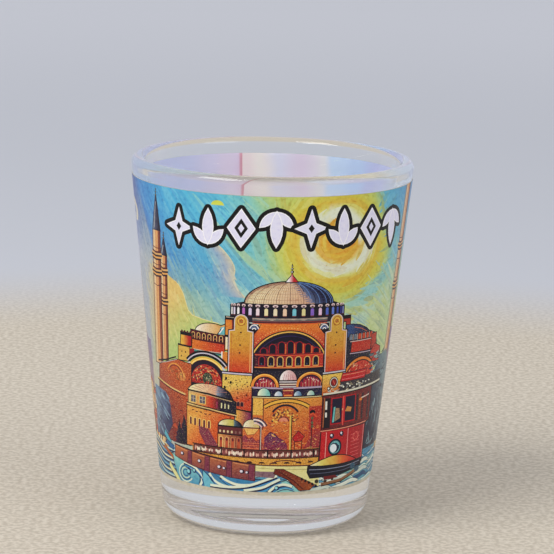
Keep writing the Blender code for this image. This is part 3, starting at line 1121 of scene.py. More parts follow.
def draw_round_hall():
    """The two-tiered round hall below the left wing, with its shallow dome."""
    body = [(-14.0, 14.6), (-7.6, 14.6), (-5.2, 17.0), (-5.2, 21.2), (-14.0, 21.6)]
    shape(body, lambda x, z: blend((214, 96, 48), (230, 170, 84), (z - 15) / 6 - (x + 11) / 5), grain=0.6)
    shadow = [(-11.6, 18.3), (-9.6, 17.9), (-7.6, 14.8), (-10.0, 14.8), (-11.4, 17.0)]
    fill(shadow, (142, 62, 84), 0.8)
    for i in range(5):
        x = -13.2 + i * 0.9
        opening(x, 18.2 - i * 0.05, 0.2, 1.25, (110, 44, 60), frame=(240, 206, 120), width=0.14)
    for x, z in ((-12.7, 20.7), (-11.9, 20.5), (-11.1, 20.5), (-10.2, 20.3), (-9.4, 20.4)):
        dab(x, z, 0.6, 0.18, between(-20, 30), MAROON)
    drum = [(-13.7, 21.6), (-5.0, 20.9), (-5.0, 22.9), (-6.0, 23.5), (-13.7, 24.0)]
    tones = ((-13.7, (232, 206, 140)), (-11.0, (222, 150, 80)), (-9.2, (200, 64, 46)), (-8.2, (120, 34, 50)),
             (-7.4, NAVY))
    for x, _ in tones[1:]:
        guide([(x, 20.9), (x, 24.0)])
    shape(drum, lambda x, z: stops(tones, x), grain=0.5)
    for x, wide in ((-12.7, 0.62), (-10.9, 0.66)):
        box(x - wide, 21.95, x + wide, 23.3, (232, 206, 120))
        box(x - wide + 0.14, 22.05, x + wide - 0.14, 23.2, (108, 104, 120), 0.8)
        line([(x, 22.1), (x, 23.1)], 0.1, (206, 190, 160))
        line([(x - wide + 0.2, 22.65), (x + wide - 0.2, 22.65)], 0.08, (206, 190, 160))
    for i, x in enumerate((-8.2, -7.4, -6.8, -6.2)):
        box(x - 0.1, 21.7, x + 0.1, 22.7 - i * 0.1, (170, 60, 96) if i == 0 else (222, 216, 170))
    for shift, tone in ((0.0, INK), (0.26, (222, 200, 140)), (0.45, INK)):
        line([(-14.1, 21.35 + shift), (-9.5, 21.05 + shift), (-4.8, 20.45 + shift)], 0.16, tone)
    dome = [(-13.9, 24.0), *ring_points(-9.8, 23.7, 4.0, 1.75, 172, 10, 20), (-5.6, 23.4)]
    lit = sideways((238, 226, 180), (222, 170, 140), -13, -8)
    shape(dome, parted(-8.2, lit, sideways((150, 160, 176), NAVY, -8.2, -6.6)), width=0.24, grain=0.35)
    for i in range(9):
        a = math.radians(30 + i * 15)
        reach = [(-9.8 + 3.8 * math.cos(a) * r, 23.6 + 1.7 * math.sin(a) * (0.35 + 0.65 * (1 - (1 - r) ** 2)))
                 for r in (0.35, 0.7, 1.0)]
        line(reach[::-1], 0.07, (190, 130, 120))
    line([(-13.9, 23.95), (-9.8, 23.85), (-5.4, 23.2)], 0.26, INK)
    line([(-13.7, 23.75), (-9.8, 23.6), (-5.6, 23.0)], 0.12, (206, 176, 130))
    for i in range(2):
        line([(-10.4 + i * 0.5, 25.35), (-10.0 + i * 0.3, 25.9)], 0.16, (190, 44, 40))


def draw_pavilion(x, low, half, floor_to_eave, rise):
    """A little domed kiosk on columns, pale on the left and dark on the right."""
    eave = low + floor_to_eave
    shape(panel(x - half, low, x + half, eave), sideways((226, 160, 92), (132, 60, 56), x - half, x + half),
          grain=0.7)
    bays = 4
    for i in range(bays):
        px = x - half + (i + 0.5) * 2 * half / bays
        frame = blend((238, 206, 140), (150, 84, 66), i / bays)
        opening(px, low + 0.1, half / bays * 0.5, floor_to_eave * 0.5, (190, 92, 62), frame=frame, width=0.13)
        oval(px, low + floor_to_eave * 0.44, half / bays * 0.34, 0.3, (110, 44, 54), steps=8)
    band = eave - floor_to_eave * 0.32
    box(x - half, band, x + half, eave, (110, 52, 56))
    for i in range(6):
        px = x - half + (i + 0.5) * 2 * half / 6
        oval(px, band + 0.35, 0.17, 0.24, (226, 206, 160) if i < 4 else (150, 110, 100), steps=8)
    box(x - half - 0.15, band - 0.2, x + half + 0.15, band, INK)
    dome = ring_points(x, eave, half * 0.98, rise, 0, 180, 18)
    lit = sideways((240, 234, 206), (206, 196, 110), x - half, x)
    edge = x + half * 0.3
    shape(dome, parted(edge, lit, sideways((110, 150, 160), NAVY, edge, edge + half * 0.4)), width=0.22,
          grain=0.25)
    line([(x - half, eave), (x + half, eave)], 0.22, INK)
    line([(x, eave + rise), (x, eave + rise + 0.5)], 0.14, INK)


def draw_garden_kiosk():
    """A pale kiosk roof over mauve shrubs on the red forecourt."""
    fill(panel(-4.0, 14.8, -0.3, 18.6), upward((196, 82, 60), (226, 136, 72), 15.0, 18.6), 0.6)
    shrubs = [(-4.0, 14.8), (-4.0, 16.9), (-3.4, 17.5), (-2.8, 16.9), (-2.2, 17.2), (-1.6, 16.5),
              (-1.1, 16.8), (-0.3, 15.8), (-0.3, 14.8)]
    line(shrubs[1:8], 0.16, (140, 50, 60))
    fill(shrubs, upward((186, 84, 70), (156, 66, 84), 15.0, 17.2), 0.9)
    for z in (15.3, 15.8, 16.2):
        line([(-3.8, z), (-2.4, z + 0.05), (-0.8, z)], 0.09, (226, 130, 84))
    shape([(-3.6, 18.7), (-1.2, 18.7), (-1.9, 17.8), (-3.0, 17.6)], (236, 190, 110), edge=(150, 70, 50),
          width=0.14, grain=0.4)
    roof = ring_points(-2.4, 18.8, 1.3, 1.35, 0, 180, 16)
    shape(roof, sideways((244, 238, 214), (206, 180, 110), -3.6, -1.1), width=0.18, grain=0.4)
    line([(-3.7, 18.8), (-1.1, 18.8)], 0.2, (120, 60, 60))


def draw_yellow_block():
    """The plastered block under the left buttress: yellow above, brick-red below, with small holes."""
    block = [(-7.3, 22.2), (-2.5, 21.6), (-2.5, 27.5), (-7.3, 27.5)]
    shape(block, lambda x, z: blend((204, 76, 46), (232, 200, 104), (z - 23) / 2.6 - (x + 5) / 8), width=0.22,
          grain=0.8)
    for x, z in scatter(34, -7.0, -2.8, 22.8, 27.2):
        oval(x, z, between(0.06, 0.14), between(0.08, 0.16), (84, 30, 40), steps=6)
    box(-7.5, 27.5, -2.2, 28.05, INK)
    box(-7.4, 27.62, -2.3, 27.85, (210, 202, 216))
    for x, z in ((-6.7, 26.8), (-5.9, 26.2), (-6.9, 25.3)):
        oval(x, z, 0.2, 0.26, INK, steps=8)
    for x in (-5.2, -4.6, -4.0):
        opening(x, 22.3, 0.24, 0.75, (60, 26, 50), frame=(190, 120, 90), width=0.1)
    line([(-5.6, 21.9), (-2.4, 21.4)], 0.24, INK)
    fill([(-5.0, 19.2), (-2.4, 18.8), (-2.4, 21.3), (-5.0, 21.7)],
         sideways((232, 176, 84), (130, 44, 92), -4.6, -2.6), 0.6)
    box(-2.5, 15.0, -2.05, 28.0, (40, 24, 52))


def draw_centre_dome():
    """The small white dome between the two arches, on its striped neck."""
    dome = ring_points(3.3, 26.9, 1.35, 1.7, 0, 180, 16)
    shape(dome, sideways((246, 240, 236), (214, 160, 160), 2.2, 4.6), width=0.24, grain=0.4)
    for i in range(5):
        line([(2.5 + i * 0.4, 27.0), (2.7 + i * 0.3, 27.9)], 0.07, (196, 120, 120))
    for i, tone in enumerate((INK, (214, 206, 206), (60, 36, 52), (232, 214, 196), (110, 40, 50),
                              (206, 200, 196))):
        wide = 1.42 - 0.02 * i
        box(3.3 - wide, 26.75 - i * 0.2, 3.3 + wide, 26.95 - i * 0.2, tone)
    box(-2.2, 24.15, 9.1, 25.55, (34, 28, 70), 0.4)
    box(-2.2, 25.45, 9.1, 25.68, (186, 168, 190))
    box(-2.2, 25.3, 9.1, 25.42, INK)
    for x, half, lit, dark in ((-0.5, 1.0, (244, 240, 206), (120, 190, 184)),
                               (1.8, 0.62, WHITE, (150, 180, 200)),
                               (4.95, 0.62, (226, 236, 236), (70, 110, 150)),
                               (7.1, 0.62, (240, 236, 220), (140, 190, 180))):
        shape(ring_points(x, 24.3, half, half * 1.25, 0, 180, 12), sideways(lit, dark, x - half, x + half),
              width=0.18)
    box(2.5, 24.2, 4.2, 25.6, (150, 44, 52), 0.5)
    line([(2.5, 25.2), (4.2, 25.2)], 0.14, (232, 180, 120))
    box(2.7, 24.25, 4.0, 24.5, (236, 150, 70))


def draw_portal():
    """The broad arched portal with its patterned lunette, bushes, a lamp post and a red hut before it."""
    box(-2.2, 15.0, 9.2, 24.1,
        lambda x, z: blend((206, 96, 52), (226, 156, 70), (z - 16) / 6 - abs(x - 3) / 14), 0.7)
    box(-2.3, 23.85, 9.2, 24.2, INK)
    box(-2.3, 23.95, 9.2, 24.08, (236, 220, 170))
    box(-2.2, 21.0, -0.6, 23.8, (232, 186, 90), 0.7)
    line([(-0.55, 15.2), (-0.55, 23.8)], 0.14, MAROON)
    crown = ring_points(3.2, 17.1, 6.4, 6.4, 55, 124, 20)
    lines(crown, (0.75, INK), (0.42, (236, 186, 80)))
    box(6.9, 15.0, 9.1, 22.4, (190, 62, 50), 0.7)
    inner = ring_points(3.0, 20.0, 2.6, 2.75, 0, 180, 20)
    fill(inner, (212, 120, 56), 0.6)
    line(ring_points(3.0, 20.0, 2.5, 2.75, 35, 145, 14), 0.34, (36, 26, 50))
    for _ in range(150):
        a, r = math.radians(between(0, 180)), between(0.42, 0.9)
        x, z = 3.0 + 2.5 * r * math.cos(a), 19.9 + 2.6 * r * math.sin(a)
        tone = pick(((238, 206, 106), (206, 132, 60), (120, 60, 50), (230, 170, 84), (90, 50, 60)))
        oval(x, z, 0.14, 0.14, tone, steps=6)
    line(ring_points(2.7, 20.0, 0.85, 0.8, 0, 180, 10), 0.16, (110, 40, 70))
    fill(ring_points(2.7, 20.0, 0.7, 0.65, 0, 180, 10), (226, 150, 120))
    bush = [(-2.0, 15.0), (-1.6, 16.6), (-0.4, 17.0), (0.6, 18.2), (1.3, 18.0), (2.0, 17.2), (2.9, 16.7),
            (3.4, 15.8), (3.5, 15.0)]
    fill(bush, upward((150, 50, 80), (112, 60, 104), 15, 18), 0.9)
    line(bush[1:8], 0.12, (80, 36, 70))
    hill = [(5.9, 15.0), (6.8, 16.6), (8.2, 18.0), (9.2, 18.3), (9.2, 15.0)]
    fill(hill, (170, 62, 66), 0.8)
    for x, z in scatter(120, -1.9, 8.9, 15.2, 20.0):
        tone = pick(((232, 160, 84), (176, 60, 56), (150, 56, 80), (236, 190, 110)))
        dab(x, z, between(0.25, 0.7), 0.12, between(-40, 40), tone)
    line([(4.05, 15.2), (4.05, 21.0)], 0.16, INK)
    line([(3.85, 15.2), (3.85, 21.0)], 0.26, (226, 190, 96))
    shape([(4.3, 17.2), (5.2, 18.3), (6.2, 17.4), (5.6, 16.6), (4.6, 16.6)], (190, 36, 44), width=0.16,
          grain=0.4)
    line([(4.6, 15.1), (4.6, 16.6)], 0.16, MAROON)
    line([(5.8, 15.1), (5.8, 16.8)], 0.16, MAROON)
    line([(7.4, 15.2), (7.4, 20.4)], 0.16, (60, 34, 50))
    oval(7.5, 21.4, 0.5, 0.4, INK)
    line([(7.1, 21.0), (7.6, 21.2), (8.3, 20.5)], 0.26, (222, 96, 60))
    for z in (20.4, 19.6, 19.0):
        oval(7.5, z, 0.22, 0.26, (100, 110, 80), steps=8)


def draw_lamp_post(x, low, tall):
    """A street lamp under its striped awning."""
    line([(x, low), (x, low + tall - 0.8)], 0.3, (50, 34, 56))
    line([(x + 0.05, low), (x + 0.05, low + tall - 0.8)], 0.1, (222, 206, 190))
    oval(x, low + tall - 0.9, 0.35, 0.45, INK)
    for i, tone in enumerate(((60, 60, 84), (236, 230, 226), (84, 84, 110), (226, 196, 196))):
        reach = 2.0 - i * 0.3
        line(ring_points(x - 0.9, low + tall - 1.9, reach, reach * 0.95, 20, 100, 8), 0.22, tone)


def draw_cornice():
    """The long moulded cornice between drum and arch."""
    fill([(-5.3, 36.4), (12.4, 36.4), (12.6, 37.25), (-5.3, 37.25)], (44, 40, 58))
    for z, width, tone in ((37.05, 0.26, (176, 158, 146)), (36.8, 0.22, (110, 104, 104)),
                           (36.6, 0.12, (150, 60, 56)), (36.45, 0.16, NAVY), (36.28, 0.14, (216, 92, 50))):
        line([(-2.6, z), (9.6, z)], width, tone)
    for i in range(14):
        x = -2.0 + i * 0.85
        dab(x, 36.9 + 0.1 * (i % 3), 0.7, 0.1, 0, (206, 190, 170) if i % 2 else (70, 110, 110))


def draw_right_wing():
    """A half dome in the evening shade, its windows and red walls, a gold arch behind the tram, and dark
    strokes beside it that are partly painted shade.
    """
    shape([(13.2, 34.4), (14.0, 34.4), (14.0, 37.1), (12.7, 37.1), (12.7, 36.2), (13.2, 36.2)], (170, 60, 46),
          width=0.22)
    box(12.5, 36.6, 14.1, 37.2, INK)
    dark = [(13.2, 27.8), (22.8, 27.8), (22.4, 30.4), (21.0, 31.2), (20.6, 33.2), (18.6, 33.9), (13.2, 34.4)]
    shape(dark, (34, 32, 60), width=0.24, grain=0.4)
    dome = [(13.3, 33.4), (13.3, 35.5), (14.6, 35.5), (16.2, 35.2), (17.8, 34.5), (19.2, 33.5)]
    shape(dome, sideways((58, 96, 150), (30, 30, 66), 13.3, 18.3), width=0.22, grain=0.5)
    line([(15.0, 35.0), (16.6, 34.6), (18.0, 33.9)], 0.12, (196, 110, 90))
    for i in range(6):
        x = 14.3 + i * 0.98
        opening(x, 32.9 - i * 0.03, 0.3, 0.95, (206, 84, 54) if i > 1 else (130, 140, 150),
                frame=(28, 22, 40), width=0.14)
        line([(x + 0.45, 32.8), (x + 0.45, 33.8)], 0.1, (226, 196, 180))
    shape([(14.4, 30.8), (19.2, 30.7), (19.2, 32.4), (14.6, 32.5)], (196, 58, 44), grain=0.5)
    line([(14.2, 32.6), (19.6, 32.5)], 0.14, (222, 190, 180))
    line([(14.2, 30.6), (19.4, 30.4)], 0.14, (196, 176, 190))
    shape([(19.4, 30.8), (20.8, 30.8), (20.8, 33.3), (19.4, 33.2)], (190, 70, 56), grain=0.5)
    shape([(19.2, 28.4), (22.2, 28.4), (22.4, 30.6), (20.6, 31.4), (19.4, 30.4)], (196, 66, 56), grain=0.5)
    fill([(13.6, 24.0), *ring_points(16.9, 25.6, 3.9, 3.7, 140, 20, 14), (20.8, 24.0)], (206, 60, 48), 0.7)
    lines(ring_points(16.9, 25.6, 4.0, 3.9, 150, 30, 16), (0.8, INK), (0.42, (226, 140, 60)))
    for x, z in scatter(60, 14.2, 20.4, 26.0, 28.8):
        dab(x, z, 0.5, 0.14, between(20, 60), pick(((236, 130, 110), (150, 30, 44), (232, 196, 150))))
    # Blue-grey strokes beside the tram: partly the picture's strokes, partly painted shade for the glass's
    # shaded right edge.
    for x, z in scatter(150, 19.8, 27.6, 23.6, 30.0):
        if z > 31.5 - abs(x - 21.5) * 0.5:
            continue
        tone = blend((44, 60, 72), (176, 196, 190), dice.random() ** 1.3)
        dab(x, z, between(0.8, 2.0), between(0.2, 0.45), between(-10, 40), tone, 40)


def draw_painted_shade_right():
    """Painted shade beyond the tram, down to the quay: the picture's strokes there, drawn dark for the shade
    at the glass's right edge.
    """
    # Dark blue-grey tones and strokes: partly the picture's own strokes, partly painted shade for the glass's
    # shaded right edge.
    shade = [(18.2, 8.4), (27.5, 8.4), (28.5, 26.0), (26.0, 29.6), (22.5, 29.0), (19.6, 25.0)]
    fill(shade,
         lambda x, z: blend((52, 52, 74), (120, 142, 148),
                            (x - 20.5) / 6 + (z - 20) / 16 + 0.3 * sway(x, z, 1.6, 4.2)))
    for x, z in scatter(170, 19.0, 27.4, 9.0, 28.0):
        tone = blend((40, 46, 70), (158, 186, 190), dice.random() ** 1.2)
        lean = between(70, 110) if 15 < z < 23 else between(-10, 40)
        dab(x, z, between(0.8, 2.6), between(0.15, 0.45), lean, tone, 30)


def draw_fence():
    """A parapet of pale beads along the quay, over a gold kerb with dark scallops."""
    fill([(-12.8, 12.9), (9.2, 12.4), (9.2, 15.3), (-12.8, 15.0)], (206, 140, 66), 0.8)
    box(-12.6, 13.75, 9.2, 15.1, (112, 60, 56))
    for i in range(86):
        x = -12.2 + i * 0.25
        z = 14.35 + 0.12 * math.sin(i * 1.7)
        tone = pick(((236, 212, 196), (220, 168, 150), (244, 230, 208), (150, 84, 84)))
        oval(x, z, 0.13, between(0.22, 0.42), tone, steps=8)
    for i in range(6):
        x = -11.2 + i * 3.8
        box(x, 13.8, x + 0.22, 15.2, INK)
    line([(-12.8, 15.05), (9.2, 15.15)], 0.14, INK)
    line([(-12.8, 13.75), (9.2, 13.7)], 0.14, INK)
    fill([(-9.0, 12.7), (9.2, 12.3), (9.2, 13.65), (-9.0, 13.7)], (222, 164, 72), 0.9)
    for i in range(8):
        x = -6.6 + i * 2.0
        oval(x, 12.85, 0.5, 0.3, (60, 30, 40), start=0, end=180, steps=8)
    line(ring_points(3.2, 10.6, 4.0, 2.8, 50, 130, 10), 0.16, (90, 40, 50))


def draw_quay():
    """Stone blocks with riveted faces, a pale landing strip and a brown gangway."""
    fill([(-2.2, 12.6), (9.0, 12.4), (9.0, 8.6), (4.0, 11.2), (-2.2, 11.6)], (228, 222, 160), 0.2)
    line([(-2.0, 12.6), (8.8, 12.35)], 0.2, (96, 50, 50))
    line([(-1.8, 12.1), (7.4, 11.7)], 0.08, (170, 160, 110))
    corners = ((-17.0, 13.9, 12.0), (-12.9, 13.5, 11.2), (-9.35, 13.15, 10.65), (-5.4, 12.85, 10.2),
               (-1.7, 12.55, 9.9))
    for (left, top_l, low_l), (right, top_r, low_r) in zip(corners, corners[1:]):
        block = [(left, low_l), (right, low_r), (right, top_r), (left, top_l)]

        def stone(x, z, start=left):
            return blend((196, 122, 74), (140, 72, 78), (13.6 - z) / 3.4 + (x - start) / 14)

        shape(block, stone, edge=(70, 30, 48), grain=0.35)
        fill(panel(right - 0.95, low_r, right - 0.1, top_r), (134, 60, 84), 0.3)
        line([(right - 0.95, low_r), (right - 0.95, top_r)], 0.1, (84, 34, 60))
        line([(left + 0.2, top_l - 0.15), (right - 1.0, top_r - 0.15)], 0.1, (226, 160, 110))
        x, z = (left + right) / 2 - 0.2, (top_l + low_l) / 2 - 0.2
        oval(x, z, 0.42, 0.36, (56, 36, 60))
        oval(x - 0.12, z + 0.02, 0.24, 0.22, (226, 220, 230))
        if left > -10:
            oval(x + 0.85, z - 0.12, 0.3, 0.28, (56, 36, 60))
            oval(x + 0.75, z - 0.1, 0.18, 0.17, (226, 220, 230))
    line([(-17.2, 14.0), (-12.9, 13.65), (-9.3, 13.3), (-5.4, 13.0), (-1.6, 12.65)], 0.24, (60, 26, 44))
    fill([(-1.6, 11.5), (1.9, 11.5), (1.4, 10.4), (-1.6, 10.6)], (142, 112, 122), 0.3)
    plank = [(1.6, 11.9), (2.9, 11.85), (8.2, 9.0), (7.4, 8.2), (5.6, 8.2), (3.6, 10.2), (1.4, 11.2)]
    shape(plank, sideways((120, 44, 36), (166, 88, 46), 2, 8), edge=(56, 22, 34), width=0.18, grain=0.4)
    line([(2.2, 11.5), (4.6, 9.9), (6.2, 8.4)], 0.14, (70, 26, 34))
    for i in range(5):
        oval(6.0 + i * 0.62, 10.1 - i * 0.33, 0.22, 0.26, INK, steps=8)
    for x, z, size in ((8.6, 9.5, 0.36), (10.2, 9.3, 0.3), (11.6, 9.6, 0.28)):
        oval(x, z, size, size, (60, 60, 54))


WAVE_TONES = ((150, 202, 192), (92, 152, 182), (224, 230, 216), (126, 184, 198), (52, 88, 128),
              (172, 208, 208), (206, 216, 204))


def draw_sea():
    """Painted water along the picture's foot: curling bands with dark outlines."""
    box(LEFT_END, PICTURE_LOW - 1, RIGHT_END, 13.4,
        lambda x, z: blend((96, 160, 186), (140, 196, 190), sway(x, z, 4.0, 8.1)))
    for row in range(7):
        base = 12.8 - row * 0.78
        offset = row * 1.9
        x = LEFT_END + offset
        while x < RIGHT_END:
            length = between(5.0, 9.0)
            rise = between(0.3, 1.0)
            crest = [(x + length * i / 10,
                      base + rise * math.sin(math.pi * i / 10) ** 2 + 0.12 * math.sin(i * 1.3))
                     for i in range(11)]
            trough = [(px, pz - 0.62 * math.sin(math.pi * i / 10) - 0.05) for i, (px, pz) in enumerate(crest)]
            band = crest + trough[::-1]
            line(band, 0.14, (32, 44, 84), closed=True)
            fill(band, pick(WAVE_TONES))
            if dice.random() < 0.6:
                line([(px, pz - 0.16) for px, pz in crest[2:9]], 0.14, (236, 240, 226))
            x += length * 0.72


def draw_front_waves():
    """The big curling waves in front of the quay."""
    fill([(-27, 12.6), (-17.0, 12.2), (-12.9, 11.3), (-9.3, 10.7), (-5.4, 10.3), (-1.7, 10.0), (1.6, 10.4),
          (5.4, 8.4), (7.0, 7.0), (-27, 7.0)], upward((96, 170, 196), (70, 120, 160), 8.0, 10.5))
    curls = (
        ((-14.8, 11.4), (-12.6, 11.0), (-11.2, 10.0), (-10.8, 8.8), (-11.2, 8.0)),
        ((-9.4, 10.4), (-8.6, 9.4), (-7.2, 8.7), (-5.4, 8.4)),
        ((-7.4, 10.2), (-6.2, 9.5), (-4.4, 9.0), (-2.2, 9.1)),
        ((-9.2, 8.4), (-5.6, 8.5), (-2.6, 9.0), (0.2, 10.1), (1.9, 10.8)),
        ((-3.4, 8.1), (-0.6, 8.7), (1.2, 9.6), (2.4, 10.2)),
        ((0.6, 8.0), (1.6, 8.9), (3.0, 9.3), (4.4, 8.9)),
    )
    bodies = (
        (
            ((-18.0, 12.2), (-14.8, 11.8), (-12.4, 10.9), (-11.2, 9.6), (-11.4, 8.0), (-16.0, 8.0)),
            upward((90, 160, 190), (150, 206, 198), 8.0, 11.5),
        ),
        (((-10.6, 10.6), (-9.2, 9.6), (-7.6, 8.8), (-8.0, 8.0), (-10.6, 8.0)), (120, 190, 206)),
        (
            ((-8.4, 10.4), (-6.4, 9.2), (-3.6, 8.6), (-1.0, 9.0), (1.4, 10.2), (-1.6, 10.0), (-5.0, 10.2)),
            (70, 140, 180),
        ),
        (((0.4, 8.0), (1.4, 9.4), (3.4, 9.9), (5.2, 8.6), (5.8, 8.0)), (150, 206, 200)),
    )
    foam = (
        (((-18.8, 10.6), (-16.6, 9.0), (-15.6, 8.0), (-16.6, 8.0), (-19.0, 9.8)), (224, 222, 160)),
        (((-20.5, 13.2), (-17.8, 11.9), (-17.4, 11.2), (-20.8, 12.6)), (190, 110, 60)),
        (((-20.2, 15.8), (-18.2, 14.2), (-18.4, 13.6), (-20.6, 15.0)), (100, 180, 196)),
        (((-19.6, 14.2), (-17.4, 13.6), (-17.6, 12.9), (-19.9, 13.5)), (60, 110, 160)),
    )
    for i in range(8):
        base = 13.2 - i * 0.74
        swell = smoothed(((-26.5, base + 0.7), (-23.5, base + 0.5), (-20.6, base - 0.3), (-16.4, base - 0.4)))
        line([(x, z - 0.24) for x, z in swell], 0.36, (36, 50, 92))
        line(swell, 0.28, ((190, 214, 212), (116, 176, 200), (226, 222, 186))[i % 3])
    for outline, tone in bodies:
        shape(list(outline), tone, edge=(30, 40, 80))
    for size, tone in ((1.5, (226, 230, 206)), (1.15, (50, 80, 120)), (0.9, (206, 220, 190)),
                       (0.55, (60, 100, 140))):
        line(ring_points(-14.3, 9.6, size * 1.1, size, 30, 330, 16), 0.2, tone)
    for curl in curls:
        smooth = smoothed(curl)
        line([(x, z - 0.2) for x, z in smooth], 0.6, (30, 42, 84))
        line(smooth, 0.42, (228, 234, 212))
        line([(x + 0.25, z - 0.55) for x, z in smooth], 0.22, (74, 150, 196))
        line([(x + 0.4, z - 0.85) for x, z in smooth], 0.14, (34, 60, 110))
    for x, z, size in ((-13.6, 9.9, 0.55), (-12.4, 10.3, 0.4), (1.9, 8.7, 0.4)):
        oval(x, z, size, size, (34, 60, 110))
        oval(x - size * 0.2, z + size * 0.1, size * 0.6, size * 0.6, (156, 214, 216))
    for points, tone in foam:
        shape(list(points), tone, edge=(40, 34, 60), width=0.16)


